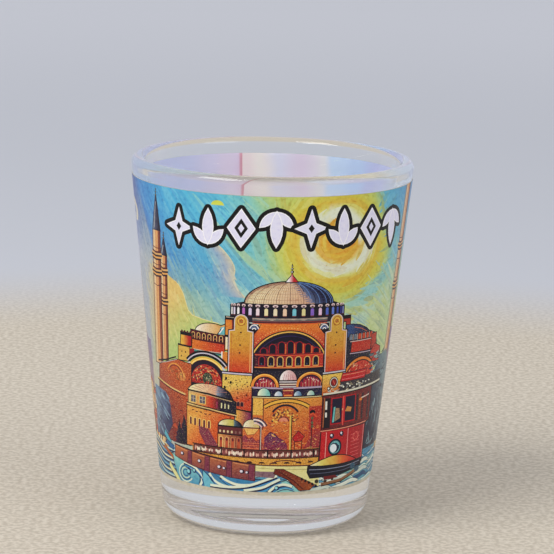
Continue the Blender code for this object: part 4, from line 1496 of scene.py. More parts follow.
def draw_tram():
    """An old red tram car coming round from the right, with a plain sign, a round lamp and a wide fender."""
    body = [(8.8, 11.8), (18.7, 11.6), (19.1, 18.2), (20.2, 18.4), (20.4, 24.2), (9.3, 24.2), (9.2, 18.2)]
    shape(body, (120, 34, 44), width=0.26, grain=0.3)
    gable = [(9.1, 24.0), (9.1, 27.6), (12.9, 27.7), (12.5, 26.2), (13.2, 24.2)]
    shape(gable, upward((206, 110, 50), (236, 200, 100), 24.4, 26.6), grain=0.7)
    fill([(12.3, 24.2), (23.4, 24.2), (23.4, 26.6), (12.5, 26.2)], (66, 62, 72), 0.5)
    shape([(12.5, 26.1), (18.0, 26.1), (18.6, 27.5), (12.9, 27.4)], (198, 30, 44), edge=(90, 20, 36),
          grain=0.4)
    line([(12.8, 26.4), (18.0, 26.45)], 0.1, (236, 130, 130))
    line([(13.0, 27.1), (18.2, 27.15)], 0.1, (236, 150, 120))
    line([(9.0, 27.75), (13.6, 27.85)], 0.5, INK)
    line([(9.1, 27.8), (13.4, 27.9)], 0.24, (206, 204, 208))
    for size, tone in ((1.0, INK), (0.86, (226, 216, 200)), (0.7, (40, 28, 44)), (0.56, (150, 34, 40))):
        oval(11.2, 26.1, size * 0.86, size, tone)
    line([(11.0, 26.5), (11.4, 25.7)], 0.12, (222, 110, 90))
    for x, z in scatter(46, 10.2, 19.5, 24.5, 25.6):
        tone = pick(((226, 222, 206), (54, 50, 60), (150, 156, 156), (190, 180, 150)))
        dab(x, z, between(0.3, 0.8), between(0.12, 0.28), between(-30, 60), tone)
    for x in (10.3, 13.2, 14.6, 16.2):
        oval(x, 25.1, 0.34, 0.34, INK, steps=10)
        oval(x - 0.05, 25.15, 0.18, 0.18, (236, 236, 220), steps=8)
    line([(9.3, 24.15), (16.0, 24.3), (23.6, 24.6)], 0.5, INK)
    line([(9.3, 24.25), (16.0, 24.4), (23.6, 24.7)], 0.3, (224, 220, 200))
    box(9.4, 18.4, 10.7, 23.5, (34, 26, 40))
    for low, high in ((21.6, 23.0), (20.3, 21.1)):
        box(9.75, low, 10.1, high, (232, 228, 216))
    line([(9.45, 18.6), (9.6, 23.6)], 0.14, (190, 120, 70))
    for left, right, low, high in ((11.0, 13.0, 19.1, 23.3), (13.7, 15.9, 19.2, 23.4)):
        shape([(left, low), (right, low), (right + 0.05, high), (left + 0.05, high)], (30, 26, 58),
              edge=(190, 34, 44), width=0.3)
    fill([(11.15, 19.3), (11.5, 19.3), (11.7, 21.9), (11.4, 21.9)], (120, 200, 196))
    fill([(11.6, 19.4), (12.7, 19.9), (12.5, 21.6), (11.75, 21.7)], (166, 136, 106), 0.7)
    oval(13.3, 21.3, 0.22, 0.22, (240, 226, 160))
    fill([(13.7, 20.9), (15.0, 20.7), (15.2, 21.4), (14.2, 21.7)], (214, 150, 80), 0.5)
    line([(13.35, 18.6), (13.4, 23.6)], 0.34, (206, 40, 50))
    line([(13.25, 18.6), (13.3, 23.6)], 0.1, (240, 130, 110))
    for x, wide, tone in ((16.5, 0.5, (46, 32, 50)), (17.2, 0.4, (150, 60, 40)), (17.9, 0.4, (44, 32, 52)),
                          (18.7, 0.45, (130, 44, 44)), (19.5, 0.4, (50, 40, 56))):
        box(x - wide / 2, 18.9, x + wide / 2, 23.4, tone, 0.4)
    line([(17.5, 22.6), (19.8, 22.9)], 0.2, (226, 206, 190))
    oval(17.4, 22.4, 0.4, 0.25, (226, 140, 60))
    shape([(9.0, 11.9), (18.6, 11.8), (19.0, 17.9), (9.2, 17.9)],
          sideways((204, 32, 46), (176, 26, 46), 9, 18), edge=(80, 20, 36), grain=0.25)
    line([(9.0, 18.05), (14.0, 18.15), (19.3, 18.35)], 0.42, (90, 24, 38))
    line([(9.0, 18.0), (14.0, 18.1), (19.3, 18.3)], 0.16, (238, 160, 130))
    line([(10.0, 12.8), (10.15, 17.7)], 0.14, (238, 170, 160))
    for x in (14.5, 18.55):
        line([(x, 12.2), (x + 0.15, 17.9)], 0.16, (232, 150, 146))
    for i in range(7):
        z = 12.9 + i * 0.62
        line([(15.4, z), (17.6, z + 0.1)], 0.1, (224, 110, 110))
    oval(16.6, 16.2, 0.8, 0.8, (224, 90, 90), 0.8)
    oval(16.6, 16.2, 0.55, 0.55, (196, 40, 54), 0.6)
    for x, z in ((11.2, 17.0), (13.2, 17.15)):
        oval(x, z, 0.44, 0.46, (24, 20, 40))
        oval(x - 0.08, z + 0.12, 0.2, 0.2, (236, 230, 236))
        oval(x + 0.1, z - 0.18, 0.14, 0.12, (110, 120, 150))
    for size, tone in ((1.4, (20, 24, 44)), (1.16, (56, 104, 120)), (1.02, (150, 208, 208)),
                       (0.92, (36, 60, 84))):
        oval(11.9, 15.0, size, size * 1.02, tone)
    oval(11.6, 14.85, 0.66, 0.72, (232, 240, 242))
    line(ring_points(11.9, 15.0, 0.8, 0.82, 20, 110, 8), 0.16, (120, 196, 196))
    fender = [(7.1, 12.2),
              *smoothed(((7.1, 12.2), (9.0, 12.9), (11.4, 13.5), (13.6, 13.4), (15.6, 12.8), (17.2, 12.0))),
              (17.2, 11.9), (12.0, 11.9)]
    tones = ((7.2, (244, 240, 226)), (9.4, (226, 214, 120)), (12.0, (224, 176, 80)), (13.8, (222, 110, 60)),
             (16.5, (196, 40, 52)))
    for x, _ in tones[1:]:
        guide([(x, 11.9), (x, 13.5)])
    shape(fender, lambda x, z: stops(tones, x), width=0.24)
    bumper = [(7.0, 12.2), (9.5, 12.0), (13.5, 11.9), (18.6, 12.1), (18.4, 10.9), (13.0, 10.2), (7.4, 10.2),
              (6.9, 11.2)]
    shape(bumper, (24, 26, 46))
    line([(7.2, 11.6), (10.0, 11.45), (14.0, 11.4), (18.0, 11.7)], 0.12, (150, 156, 176))
    line([(7.4, 10.9), (10.0, 10.8), (14.0, 10.8), (17.6, 11.3)], 0.1, (104, 110, 134))
    fill([(9.8, 10.2), (12.2, 10.2), (12.8, 9.7), (10.0, 9.6)], (120, 36, 40))
    line([(9.4, 8.9), (13.5, 9.2), (17.0, 10.3)], 0.5, (150, 110, 80))
    line([(9.4, 8.6), (13.5, 8.9), (17.2, 10.0)], 0.16, INK)
    for x, z in ((16.2, 11.1), (17.4, 10.4)):
        oval(x, z, 0.7, 0.5, (54, 96, 120), 0.5)


# ---------------------------------------------------------------- sides and back
# Drawn upright: x is the distance round the glass at its middle radius.


def draw_swirl(x, z, size, lit, dark):
    """A curl of cloud: nested strokes that wind inwards."""
    for i in range(7):
        reach = size * (1.0 - 0.13 * i)
        tone = blend(lit, dark, i / 6.0 if i % 2 else i / 14.0)
        bow = ring_points(x + 0.12 * i * size * 0.4, z, reach, reach * 0.62, 200 - 22 * i, -40 - 10 * i, 16)
        line(bow, size * 0.1, tone)


def draw_hill(left, right, crest, rise, low_tone, high_tone, seed):
    """A painted ridge with strokes that follow its slope."""

    def height(x):
        return crest + rise * sway(x, 0.0, 9.0, seed) + 0.3 * rise * math.sin(x / 3.1)

    steps = int((right - left) / 1.2)
    ridge = [(left + (right - left) * i / steps, height(left + (right - left) * i / steps))
             for i in range(steps + 1)]
    line(ridge, 0.2, blend(low_tone, INK, 0.5))
    fill([(left, PICTURE_LOW), (right, PICTURE_LOW), *ridge[::-1]],
         upward(low_tone, high_tone, 13.0, crest + rise))
    for _ in range(int((right - left) * 4)):
        x = between(left + 1, right - 1)
        z = between(14.0, height(x) - 0.5)
        tone = blend(low_tone, high_tone, (z - 13.0) / (crest + rise - 13.0) + between(-0.5, 0.5))
        lean = math.degrees(math.atan2(height(x + 0.5) - height(x - 0.5), 1.0))
        dab(x, z, between(0.9, 2.2), between(0.15, 0.4), lean + between(-8, 8), tone)


HOUSE_TONES = (((232, 190, 110), (196, 104, 56)), ((226, 150, 84), (168, 60, 48)),
               ((238, 220, 170), (206, 150, 104)), ((206, 92, 60), (132, 36, 48)),
               ((214, 176, 150), (150, 96, 96)), ((176, 196, 190), (96, 120, 140)))


def draw_house(x, low, wide, tall):
    """A narrow painted house: a wall lit from one side, framed windows and a tiled or flat roof."""
    lit, shaded = pick(HOUSE_TONES)
    shape(panel(x, low, x + wide, low + tall), sideways(lit, shaded, x, x + wide * 1.2), edge=(50, 26, 44),
          width=0.18, grain=0.4)
    top = low + tall
    if dice.random() < 0.6:
        roof = [(x - 0.3, top), (x + wide + 0.3, top), (x + wide * 0.62, top + wide * 0.3),
                (x + wide * 0.3, top + wide * 0.32)]
        shape(roof, sideways((214, 98, 60), (130, 40, 46), x, x + wide), edge=(50, 24, 40), width=0.16,
              grain=0.4)
        line([(x + 0.1, top + 0.2), (x + wide - 0.1, top + 0.2)], 0.08, (240, 170, 110))
    else:
        box(x - 0.15, top - 0.1, x + wide + 0.15, top + 0.3, (60, 34, 50))
        line([(x - 0.1, top + 0.12), (x + wide + 0.1, top + 0.12)], 0.1, (232, 200, 150))
    columns, rows = max(int(wide / 1.15), 1), max(int(tall / 1.75), 1)
    for i in range(columns):
        for j in range(rows):
            px = x + wide * (i + 0.5) / columns
            pz = low + 0.45 + (tall - 0.5) * j / rows
            tone = (246, 222, 140) if dice.random() < 0.3 else (46, 40, 72)
            opening(px, pz, 0.24, 0.95, tone, frame=(236, 214, 170), width=0.11)


def draw_street(left, right, low, shortest, tallest):
    """A row of houses of mixed widths and heights."""
    x = left
    while x < right:
        wide = between(2.0, 3.6)
        draw_house(x, low, wide, between(shortest, tallest))
        x += wide + between(-0.2, 0.25)


def draw_domed_hall(x, low, half):
    """A plain domed hall with a half dome on either side and two slim towers."""
    for side in (-1, 1):
        draw_spire_tower(x + side * half * 1.28, low, low + half * 3.3, low + half * 3.9, half * 0.13,
                         (low + half * 2.7, low + half * 1.9))
    shape(panel(x - half, low, x + half, low + half * 0.75),
          sideways((232, 176, 90), (176, 66, 50), x - half, x + half), width=0.22, grain=0.5)
    for side, lit in ((-1, (236, 226, 180)), (1, (150, 150, 170))):
        centre = x + side * half * 0.62
        bulge = ring_points(centre, low + half * 0.75, half * 0.4, half * 0.36, 0, 180, 14)
        shape(bulge, sideways(lit, (60, 60, 104), centre - half * 0.2, centre + half * 0.5), width=0.22,
              grain=0.3)
    shape(panel(x - half * 0.62, low, x + half * 0.62, low + half * 1.15),
          upward((200, 76, 50), (228, 170, 80), low, low + half), width=0.22, grain=0.5)
    draw_small_arch(x, low + half * 0.42, half * 0.42)
    for i in range(7):
        px = x - half * 0.84 + half * 0.28 * i
        opening(px, low + 0.35, half * 0.06, half * 0.26, (44, 26, 56), frame=(238, 206, 130), width=0.12)
    slots, foot = 9, low + half * 1.15
    shape([(x - half * 0.58, foot), (x + half * 0.58, foot), (x + half * 0.55, foot + 1.3),
           (x - half * 0.55, foot + 1.3)], NAVY)
    for i in range(slots):
        turn = math.radians(-78 + 156 * i / (slots - 1))
        opening(x + half * 0.54 * math.sin(turn), foot + 0.2, 0.08 + 0.14 * math.cos(turn), 0.9,
                DRUM_SLOTS[2 * i])
    draw_ribbed_dome(x, foot + 1.3, half * 0.54, half * 0.4, (240, 230, 190), (220, 170, 140), (26, 28, 66))
    draw_finial(x, foot + 1.3 + half * 0.4, 0.55)


def draw_round_tower(x, low, half, tall):
    """An old round stone tower: courses, a ring of openings, a gallery and a tall cone."""
    top = low + tall
    shaft = [(x - half, low), (x + half, low), (x + half * 0.9, top), (x - half * 0.9, top)]
    tones = ((-1.0, (238, 216, 160)), (-0.2, (220, 160, 100)), (0.5, (150, 88, 76)), (1.0, (70, 44, 74)))
    for share, _ in tones[1:-1]:
        guide([(x + half * share, low), (x + half * share, top)])
    shape(shaft, lambda px, z: stops(tones, (px - x) / half), width=0.22, grain=0.6)
    for i in range(1, int(tall)):
        z = low + i
        bow = [(x - half * 0.94, z + 0.12), (x, z - 0.12), (x + half * 0.94, z + 0.12)]
        line(bow, 0.07, (150, 92, 76))
    for level in (0.35, 0.62, 0.84):
        for side in (-0.5, 0.05, 0.6):
            opening(x + half * side, low + tall * level, 0.22, 1.1, (40, 26, 50), frame=(238, 206, 140),
                    width=0.1)
    shape(panel(x - half * 1.15, top, x + half * 1.15, top + 0.7), (196, 120, 80))
    for i in range(6):
        opening(x - half + half * 0.4 * i, top + 0.7, 0.16, 1.0, (60, 40, 70), frame=(232, 196, 130),
                width=0.12)
    cone = [(x - half * 1.12, top + 1.9), (x + half * 1.12, top + 1.9), (x + 0.1, top + 6.4),
            (x - 0.1, top + 6.4)]
    shape(cone, sideways((120, 150, 170), (34, 30, 62), x - half, x + half * 0.8), width=0.22)
    for side in (-0.6, -0.15, 0.35):
        line([(x + half * side, top + 2.0), (x + half * side * 0.1, top + 6.0)], 0.09, (60, 64, 96))
    line([(x, top + 6.3), (x, top + 7.6)], 0.14, INK)


def draw_boat(x, z, size, hull, trim):
    """A small ferry or skiff on the water, with a cabin, a funnel and a curl of bow wave."""
    body = [(x - size, z + size * 0.3), (x + size * 1.1, z + size * 0.42), (x + size * 0.8, z - size * 0.12),
            (x - size * 0.8, z - size * 0.12)]
    cabin = [(x - size * 0.6, z + size * 0.32), (x + size * 0.5, z + size * 0.36),
             (x + size * 0.4, z + size * 0.72), (x - size * 0.6, z + size * 0.7)]
    shape(cabin, sideways(WHITE, (206, 170, 130), x - size, x + size), edge=(40, 30, 52), width=0.16)
    for i in range(4):
        px = x - size * 0.45 + size * 0.25 * i
        box(px, z + size * 0.42, px + size * 0.13, z + size * 0.6, (56, 70, 110))
    box(x - size * 0.1, z + size * 0.7, x + size * 0.12, z + size * 1.1, trim)
    box(x - size * 0.1, z + size * 0.98, x + size * 0.12, z + size * 1.1, INK)
    line([(x + size * 0.6, z + size * 0.4), (x + size * 0.62, z + size * 1.25)], 0.1, (60, 34, 50))
    shape(body, upward((40, 36, 66), hull, z - size * 0.1, z + size * 0.3), edge=(30, 26, 50), width=0.18)
    line([(x - size * 0.95, z + size * 0.24), (x + size * 1.0, z + size * 0.34)], 0.12, trim)
    line(smoothed(((x - size * 1.3, z - size * 0.2), (x - size * 0.4, z - size * 0.3),
                   (x + size * 0.6, z - size * 0.2), (x + size * 1.4, z - size * 0.05))), 0.22,
         (232, 238, 224))


def draw_bridge(left, right, deck):
    """A low bridge on round arches."""
    count = int((right - left) / 3.4)
    step = (right - left) / count
    shape(panel(left, deck - 3.4, right, deck), upward((150, 84, 72), (222, 164, 96), deck - 3.4, deck),
          edge=(50, 28, 46), width=0.18, grain=0.5)
    for i in range(count):
        x = left + (i + 0.5) * step
        half = step * 0.36
        opening(x, deck - 3.6, half, 2.7, (58, 108, 146), frame=(236, 200, 130), width=0.2)
        line([(x - half, deck - 3.1), (x + half, deck - 3.0)], 0.16, (150, 206, 206))
    line([(left, deck + 0.1), (right, deck + 0.1)], 0.34, (60, 34, 50))
    line([(left, deck + 0.2), (right, deck + 0.2)], 0.14, (240, 214, 150))
    for i in range(count * 3):
        x = left + (i + 0.5) * step / 3
        line([(x, deck + 0.2), (x, deck + 0.9)], 0.12, (90, 50, 60))
    line([(left, deck + 0.9), (right, deck + 0.9)], 0.12, (90, 50, 60))


def draw_far_shore():
    """The town goes on round the glass: clouds, ridges, streets, domed halls and an old round tower."""
    picture.upright = True
    lit, dusk = (238, 226, 190), (130, 150, 206)
    for x, z, size in ((35, 52, 3.6), (43, 47.5, 4.4), (53, 51.5, 5.0), (63, 47, 3.8), (60, 54, 2.6),
                       (-30, 51, 3.4), (-38, 46.5, 4.2), (-47, 51.5, 4.8), (-54, 46, 3.4)):
        draw_swirl(x, z, size, lit, dusk)
    draw_hill(26, 72, 31.0, 3.2, (206, 150, 120), (132, 120, 170), 2.5)
    draw_hill(-64, -25.5, 30.0, 3.4, (206, 156, 120), (124, 124, 176), 7.5)
    draw_domed_hall(41.5, 20.0, 7.2)
    draw_domed_hall(-38.0, 20.5, 6.2)
    draw_hill(25, 72, 21.5, 2.0, (150, 70, 60), (150, 160, 84), 4.5)
    draw_hill(-64, -24, 22.0, 2.0, (140, 66, 66), (140, 156, 90), 5.5)
    draw_spire_tower(26.0, 16.0, 60.0, 64.0, 1.35, (46.0, 39.4))
    draw_round_tower(57.0, 17.0, 2.3, 17.0)
    draw_spire_tower(-51.0, 20.0, 38.0, 43.5, 0.8, (34.0, 29.0))
    for left, right, low, short, tall in ((27, 54, 17.4, 2.6, 5.0), (59, 70, 17.6, 3.0, 6.0),
                                          (-62, -24, 17.8, 2.4, 5.0), (26, 70, 13.2, 2.8, 5.6),
                                          (-62, -24, 13.2, 2.8, 5.4)):
        draw_street(left, right, low, short, tall)
    for x in (29.5, 37.0, 49.5, 55.0, 63.0, -28.0, -35.0, -43.5, -49.0, -56.0):
        draw_cypress(x, 13.2, between(0.8, 1.3), between(4.5, 7.0))
    picture.upright = False


def draw_far_water():
    """The quay line, bridge and boats beyond the picture's front."""
    picture.upright = True
    for left, right in ((27, 72), (-64, -21)):
        box(left, 12.3, right, 13.4, (214, 176, 120), 0.4)
        line([(left, 13.35), (right, 13.35)], 0.14, (244, 226, 170))
        line([(left, 12.3), (right, 12.3)], 0.2, (60, 40, 60))
    draw_bridge(-56.0, -41.0, 14.0)
    for x, z, size, hull, trim in ((33.0, 10.6, 2.2, (196, 56, 48), GOLD),
                                   (43.5, 9.6, 1.6, (232, 196, 110), RED),
                                   (50.5, 11.0, 2.4, (60, 96, 150), RED),
                                   (61.5, 9.9, 2.0, (206, 96, 56), CREAM),
                                   (-27.5, 10.4, 2.2, (206, 96, 56), CREAM),
                                   (-36.0, 9.7, 1.7, (60, 96, 150), GOLD),
                                   (-47.5, 9.6, 1.5, (196, 56, 48), WHITE)):
        draw_boat(x, z, size, hull, trim)
    picture.upright = False


# ---------------------------------------------------------------- ornament row

PLATE = (232, 230, 246)


def stamp(outlines, holes=()):
    """White ornament outlines with one thick black edge between them."""
    for outline in outlines:
        thick_line(outline, 1.42, (12, 10, 14))
        fill(outline, (12, 10, 14))
    for outline in outlines:
        fill(outline, PLATE)
        line(outline, 0.14, (250, 248, 250), closed=True)
    for hole in holes:
        fill(hole, (12, 10, 14))


def star(x, z, reach, waist):
    """A narrow four-pointed star."""
    outline = []
    for i in range(8):
        a = math.radians(90 + 45 * i)
        r = reach if i % 2 == 0 else waist
        outline.append((x + r * math.cos(a) * 0.86, z + r * math.sin(a)))
    return outline


def lozenge(x, z, half, tall):
    """A diamond shape, tall each way from its middle."""
    return [(x + half, z), (x, z + tall), (x - half, z), (x, z - tall)]


def petal(x, z, length, width, lean):
    """A pointed leaf from (x, z) in the lean direction, in degrees."""
    c, s = math.cos(math.radians(lean)), math.sin(math.radians(lean))
    swell = [(i / 6, width / 2 * math.sin(math.pi * i / 6) ** 0.8) for i in range(7)]
    sides = swell + [(t, -across) for t, across in swell[5:0:-1]]
    return [(x + c * length * t - s * across, z + s * length * t + c * across) for t, across in sides]


def draw_ornament_row():
    """A band of plain folk ornaments arched over the town: stars, lozenges and leaf sprays."""
    first, last, count = -15.9, 23.2, 8
    for i in range(count):
        x = first + (last - first) * i / (count - 1)
        z = 51.9 - 0.9 * ((x - 3.6) / 19.5) ** 2
        kind = i % 4
        if kind == 0:
            stamp([star(x, z, 3.1, 1.15)], [lozenge(x, z, 0.5, 0.7)])
        elif kind == 1:
            leaves = [petal(x, z - 2.7, 3.7, 1.5, lean) for lean in (44, 136)]
            stamp([*leaves, petal(x, z - 2.8, 5.9, 1.9, 90)])
        elif kind == 2:
            stamp([lozenge(x, z, 2.25, 3.1)], [lozenge(x, z, 1.1, 1.6)])
            fill(lozenge(x, z, 0.5, 0.75), PLATE)
        else:
            leaves = [petal(x, z + 2.7, 3.7, 1.5, lean) for lean in (-44, -136)]
            stamp([*leaves, petal(x, z + 2.8, 5.9, 1.9, -90)])


# ---------------------------------------------------------------- the whole picture


def draw_picture():
    """Everything from the back to the front: what is drawn later hides what is under it."""
    draw_sky()
    draw_clouds()
    draw_far_shore()
    draw_spire_tower(-19.6, 28.0, 45.6, 49.5, 0.95, (42.0, 37.0))
    draw_spire_tower(-21.6, 27.0, 49.5, 56.4, 1.3, (44.4, 41.6))
    draw_left_wing()
    draw_right_wing()
    draw_great_arch(-2.6, 9.5, 3.4, 28.6, 6.25, 36.5)
    draw_drum(3.25, 9.35, 37.2, 39.6)
    draw_ribbed_dome(3.3, 39.55, 7.15, 3.65, (240, 232, 190), (218, 176, 146), (22, 24, 60))
    draw_finial(3.5, 43.2, 0.95)
    draw_cornice()
    box(-2.6, 24.0, 9.5, 28.5, (36, 32, 58), 0.4)
    draw_buttress(-6.25, -2.55, 28.0, 34.75, 37.5)
    draw_buttress(9.5, 13.25, 28.0, 34.6, 37.45)
    draw_terracotta_wall()
    draw_yellow_block()
    draw_small_arch(-0.4, 25.75, 2.0)
    draw_small_arch(7.0, 25.75, 2.25)
    draw_centre_dome()
    draw_portal()
    draw_round_hall()
    draw_garden_kiosk()
    draw_pavilion(-5.9, 14.8, 2.0, 4.0, 1.15)
    draw_lamp_post(-0.9, 14.9, 5.6)
    draw_painted_shade_right()
    draw_sea()
    draw_far_water()
    draw_fence()
    draw_front_waves()
    draw_quay()
    draw_tram()
    draw_ornament_row()


# ---------------------------------------------------------------- the printed skin

COLUMN = 3.0  # degrees between the cuts that let the flat picture bend round the glass
ROW = 1.5  # millimetres between the level cuts
MERGE_WITHIN = 1e-4


def wrap_point(angle, z):
    """The flat picture's point at an angle round the glass, in degrees, and a height."""
    return (math.radians(angle) * wall_radius(z), z)


def flat_net():
    """The picture as one flat net: its corners, its triangles and the shape that lies on top of each.

    Every outline is crossed with every other first. Then only the edges that show are kept, and joined
    again with the guides and the cuts.
    """
    start = SEAM_ANGLE - 180.0
    half_gap = math.degrees(SEAM_WIDTH / 2 / wall_radius(PICTURE_LOW))
    first, last = start + half_gap, start + 360.0 - half_gap
    border = [wrap_point(first, PICTURE_LOW), wrap_point(last, PICTURE_LOW)]
    border += [wrap_point(last, PICTURE_HIGH), wrap_point(first, PICTURE_HIGH)]
    grid = [(border, True)] + [(line, False) for line in picture.guides]
    for i in range(math.ceil(first / COLUMN), math.ceil(last / COLUMN)):
        grid.append(([wrap_point(i * COLUMN, PICTURE_LOW), wrap_point(i * COLUMN, PICTURE_HIGH)], False))
    for i in range(1, math.ceil((PICTURE_HIGH - PICTURE_LOW) / ROW)):
        z = PICTURE_LOW + i * ROW
        grid.append(([wrap_point(first, z), wrap_point(last, z)], False))
    outlines = [(outline, True) for outline, _, _ in picture.shapes]
    corners, triangles = joined(*listed(grid[:1] + outlines))
    tops = topmost(corners, triangles)
    points, edges = shown_edges(corners, triangles, tops)
    more, links = listed(grid)
    corners, triangles = joined(points + more, edges + [(a + len(points), b + len(points)) for a, b in links])
    triangles = triangles[within(border, corners[triangles].mean(axis=1))]
    return corners, triangles, topmost(corners, triangles)


def listed(lines):
    """Points and point-to-point links of (points, closed) lines."""
    points, links = [], []
    for line, closed in lines:
        base, count = len(points), len(line)
        points.extend(line)
        links.extend((base + i, base + (i + 1) % count) for i in range(count if closed else count - 1))
    return points, links


def joined(points, links):
    """The points joined up by triangles that keep every link."""
    net = delaunay_2d_cdt([Vector(point) for point in points], links, [], 0, MERGE_WITHIN, False)
    return np.array([tuple(corner) for corner in net[0]]), np.array(net[2])


def topmost(corners, triangles):
    """The number of the last shape that covers each triangle."""
    middles = corners[triangles].mean(axis=1)
    order = np.argsort(middles[:, 0])
    sorted_x = middles[order, 0]
    tops = np.zeros(len(triangles), int)
    for number, (outline, _, _) in enumerate(picture.shapes):
        (left, low), (right, high) = np.min(outline, axis=0), np.max(outline, axis=0)
        near = order[np.searchsorted(sorted_x, left) : np.searchsorted(sorted_x, right)]
        near = near[(middles[near, 1] > low) & (middles[near, 1] < high)]
        tops[near[within(outline, middles[near])]] = number
    return tops


def shown_edges(corners, triangles, tops):
    """Only the edges whose two sides look different. Plain shapes of one colour and grain look alike."""
    looks = {}
    for number, (_, paint, grain) in enumerate(picture.shapes):
        looks[number] = number if callable(paint) else (paint, grain)
    names = {look: i for i, look in enumerate(dict.fromkeys(looks.values()))}
    kinds = np.array([names[looks[number]] for number in range(len(picture.shapes))])[tops]
    sides = np.sort(np.concatenate([triangles[:, pair] for pair in ((0, 1), (1, 2), (2, 0))]), axis=1)
    kinds = np.concatenate((kinds, kinds, kinds))
    order = np.lexsort((sides[:, 1], sides[:, 0]))
    sides, kinds = sides[order], kinds[order]
    twins = (sides[1:] == sides[:-1]).all(axis=1)
    shown = sides[:-1][twins & (kinds[1:] != kinds[:-1])]
    used, links = np.unique(shown, return_inverse=True)
    return corners[used].tolist(), [tuple(link) for link in links.reshape(-1, 2).tolist()]


def skin(name, corners, triangles, tops, material):
    """A sector of the printed film: the drawn face, the same face reversed behind it, and edge walls."""
    used, triangles = np.unique(triangles, return_inverse=True)
    triangles = triangles.reshape(-1, 3)
    spots, count = corners[used], len(used)
    turns = spots[:, 0] / wall_radius(spots[:, 1])
    outward = np.stack((np.sin(turns), -np.cos(turns)), axis=1)
    vertices = np.empty((2 * count, 3))
    for layer, offset in enumerate((PICTURE_FACE, PICTURE_FACE - PICTURE_FILM)):
        radius = wall_radius(spots[:, 1]) + offset * ACROSS
        vertices[layer * count : (layer + 1) * count, :2] = outward * radius[:, None]
        vertices[layer * count : (layer + 1) * count, 2] = spots[:, 1]
    sides = np.concatenate([triangles[:, pair] for pair in ((0, 1), (1, 2), (2, 0))])
    rim = ~np.isin(sides[:, 0] * count + sides[:, 1], sides[:, 1] * count + sides[:, 0])
    a, b = sides[rim].T
    walls = np.stack((b, a, a + count, b + count), axis=1)
    owners = np.concatenate((tops, tops, np.concatenate((tops, tops, tops))[rim]))
    data = bpy.data.meshes.new(name)
    faces = triangles.tolist() + (triangles[:, ::-1] + count).tolist() + walls.tolist()
    data.from_pydata((vertices * MM).tolist(), [], faces)
    wrap = data.attributes.new("wrap", "FLOAT_VECTOR", "POINT")
    flat = np.concatenate((spots, np.zeros((count, 1))), axis=1)
    wrap.data.foreach_set("vector", np.concatenate((flat, flat)).ravel())
    grain = data.attributes.new("grain", "FLOAT", "FACE")
    grain.data.foreach_set("value", [picture.shapes[top][2] for top in owners])
    ink = data.attributes.new("ink", "FLOAT_COLOR", "CORNER")
    ink.data.foreach_set("color", corner_inks(spots, faces, owners))
    data.materials.append(material)
    data.shade_smooth()
    lean = np.full((count, 1), -SLOPE)
    facing = np.concatenate((outward, lean), axis=1) / ACROSS
    data.normals_split_custom_set_from_vertices(np.concatenate((facing, -facing)).tolist())
    piece = bpy.data.objects.new(name, data)
    bpy.context.scene.collection.objects.link(piece)
    return piece


INK_DEPTH = 1.13  # printed inks lie a little deeper than the tones they are drawn in


def corner_inks(spots, faces, owners):
    """Each face corner's colour: its shape's paint at that place."""
    places = spots.tolist()
    count = len(places)
    known = {}
    shades = []
    for face, top in zip(faces, owners.tolist()):
        paint = picture.shapes[top][1]
        for i in face:
            key = (top, i % count) if callable(paint) else paint
            if key not in known:
                tone = paint(*places[i % count]) if callable(paint) else paint
                known[key] = (*(light**INK_DEPTH for light in linear(tone)), 1.0)
            shades.extend(known[key])
    return shades


def make_print():
    """The printed picture in four pieces, each a quarter of the way round."""
    draw_picture()
    corners, triangles, tops = flat_net()
    middles = corners[triangles].mean(axis=1)
    angles = np.degrees(middles[:, 0] / wall_radius(middles[:, 1]))
    quarters = ((angles + 45.0) % 360.0) // 90.0
    material = ink_material()
    pieces = []
    for number, side in enumerate(("front", "right", "back", "left")):
        chosen = quarters == number
        name = "picture_" + side
        pieces.append(skin(name, corners, triangles[chosen], tops[chosen], material))
    return pieces


# ---------------------------------------------------------------- the studio

CAMERA_DISTANCE = 520.0
CAMERA_TARGET = (0.0, 0.0, 30.0)
CAMERA_HEIGHT = 11.9  # degrees above the target's level
CAMERA_ROLL = 1.41
AIM_RIGHT = 0.1283  # degrees from the target to the middle of the view
AIM_UP = 1.0717
SENSOR = 36.0
LENS = 204.6
CLOTH_REACH = 150.0  # the cloth begins to run out this far from the glass, and ends at the ground's reach
GROUND_REACH = 225.0
GROUND_END = 1000.0
FLOOR_HALF = 4.0  # metres
LAMP_TARGET = (0.0, 0.0, 0.03)
# Name, place in metres, width, power and colour.
LAMPS = (
    ("window_left", (-0.55, -0.45, 0.75), 0.5, 5.6, (1.0, 0.99, 0.97)),
    ("fill_right", (0.7, -0.5, 0.6), 0.6, 2.0, (0.97, 0.98, 1.0)),
)
DAYLIGHT = (0.80, 0.82, 0.88, 1.0)
DAYLIGHT_STRENGTH = 0.76


def add_camera():
    height = math.radians(CAMERA_HEIGHT)
    ahead = Vector((0.0, math.cos(height), -math.sin(height)))
    right = Vector((1.0, 0.0, 0.0))
    over = right.cross(ahead)
    shift_right, shift_up = math.tan(math.radians(AIM_RIGHT)), math.tan(math.radians(AIM_UP))
    aim = (ahead + right * shift_right + over * shift_up).normalized()
    side = aim.cross(Vector((0.0, 0.0, 1.0))).normalized()
    top = side.cross(aim)
    roll = math.radians(CAMERA_ROLL)
    axes = (side * math.cos(roll) + top * math.sin(roll), top * math.cos(roll) - side * math.sin(roll), -aim)
    data = bpy.data.cameras.new("camera")
    data.sensor_width = SENSOR
    data.lens = LENS
    data.clip_start = 0.01
    camera = bpy.data.objects.new("camera", data)
    camera.location = (Vector(CAMERA_TARGET) - ahead * CAMERA_DISTANCE) * MM
    camera.rotation_mode = "QUATERNION"
    camera.rotation_quaternion = Matrix(axes).transposed().to_quaternion()
    bpy.context.scene.collection.objects.link(camera)
    bpy.context.scene.camera = camera


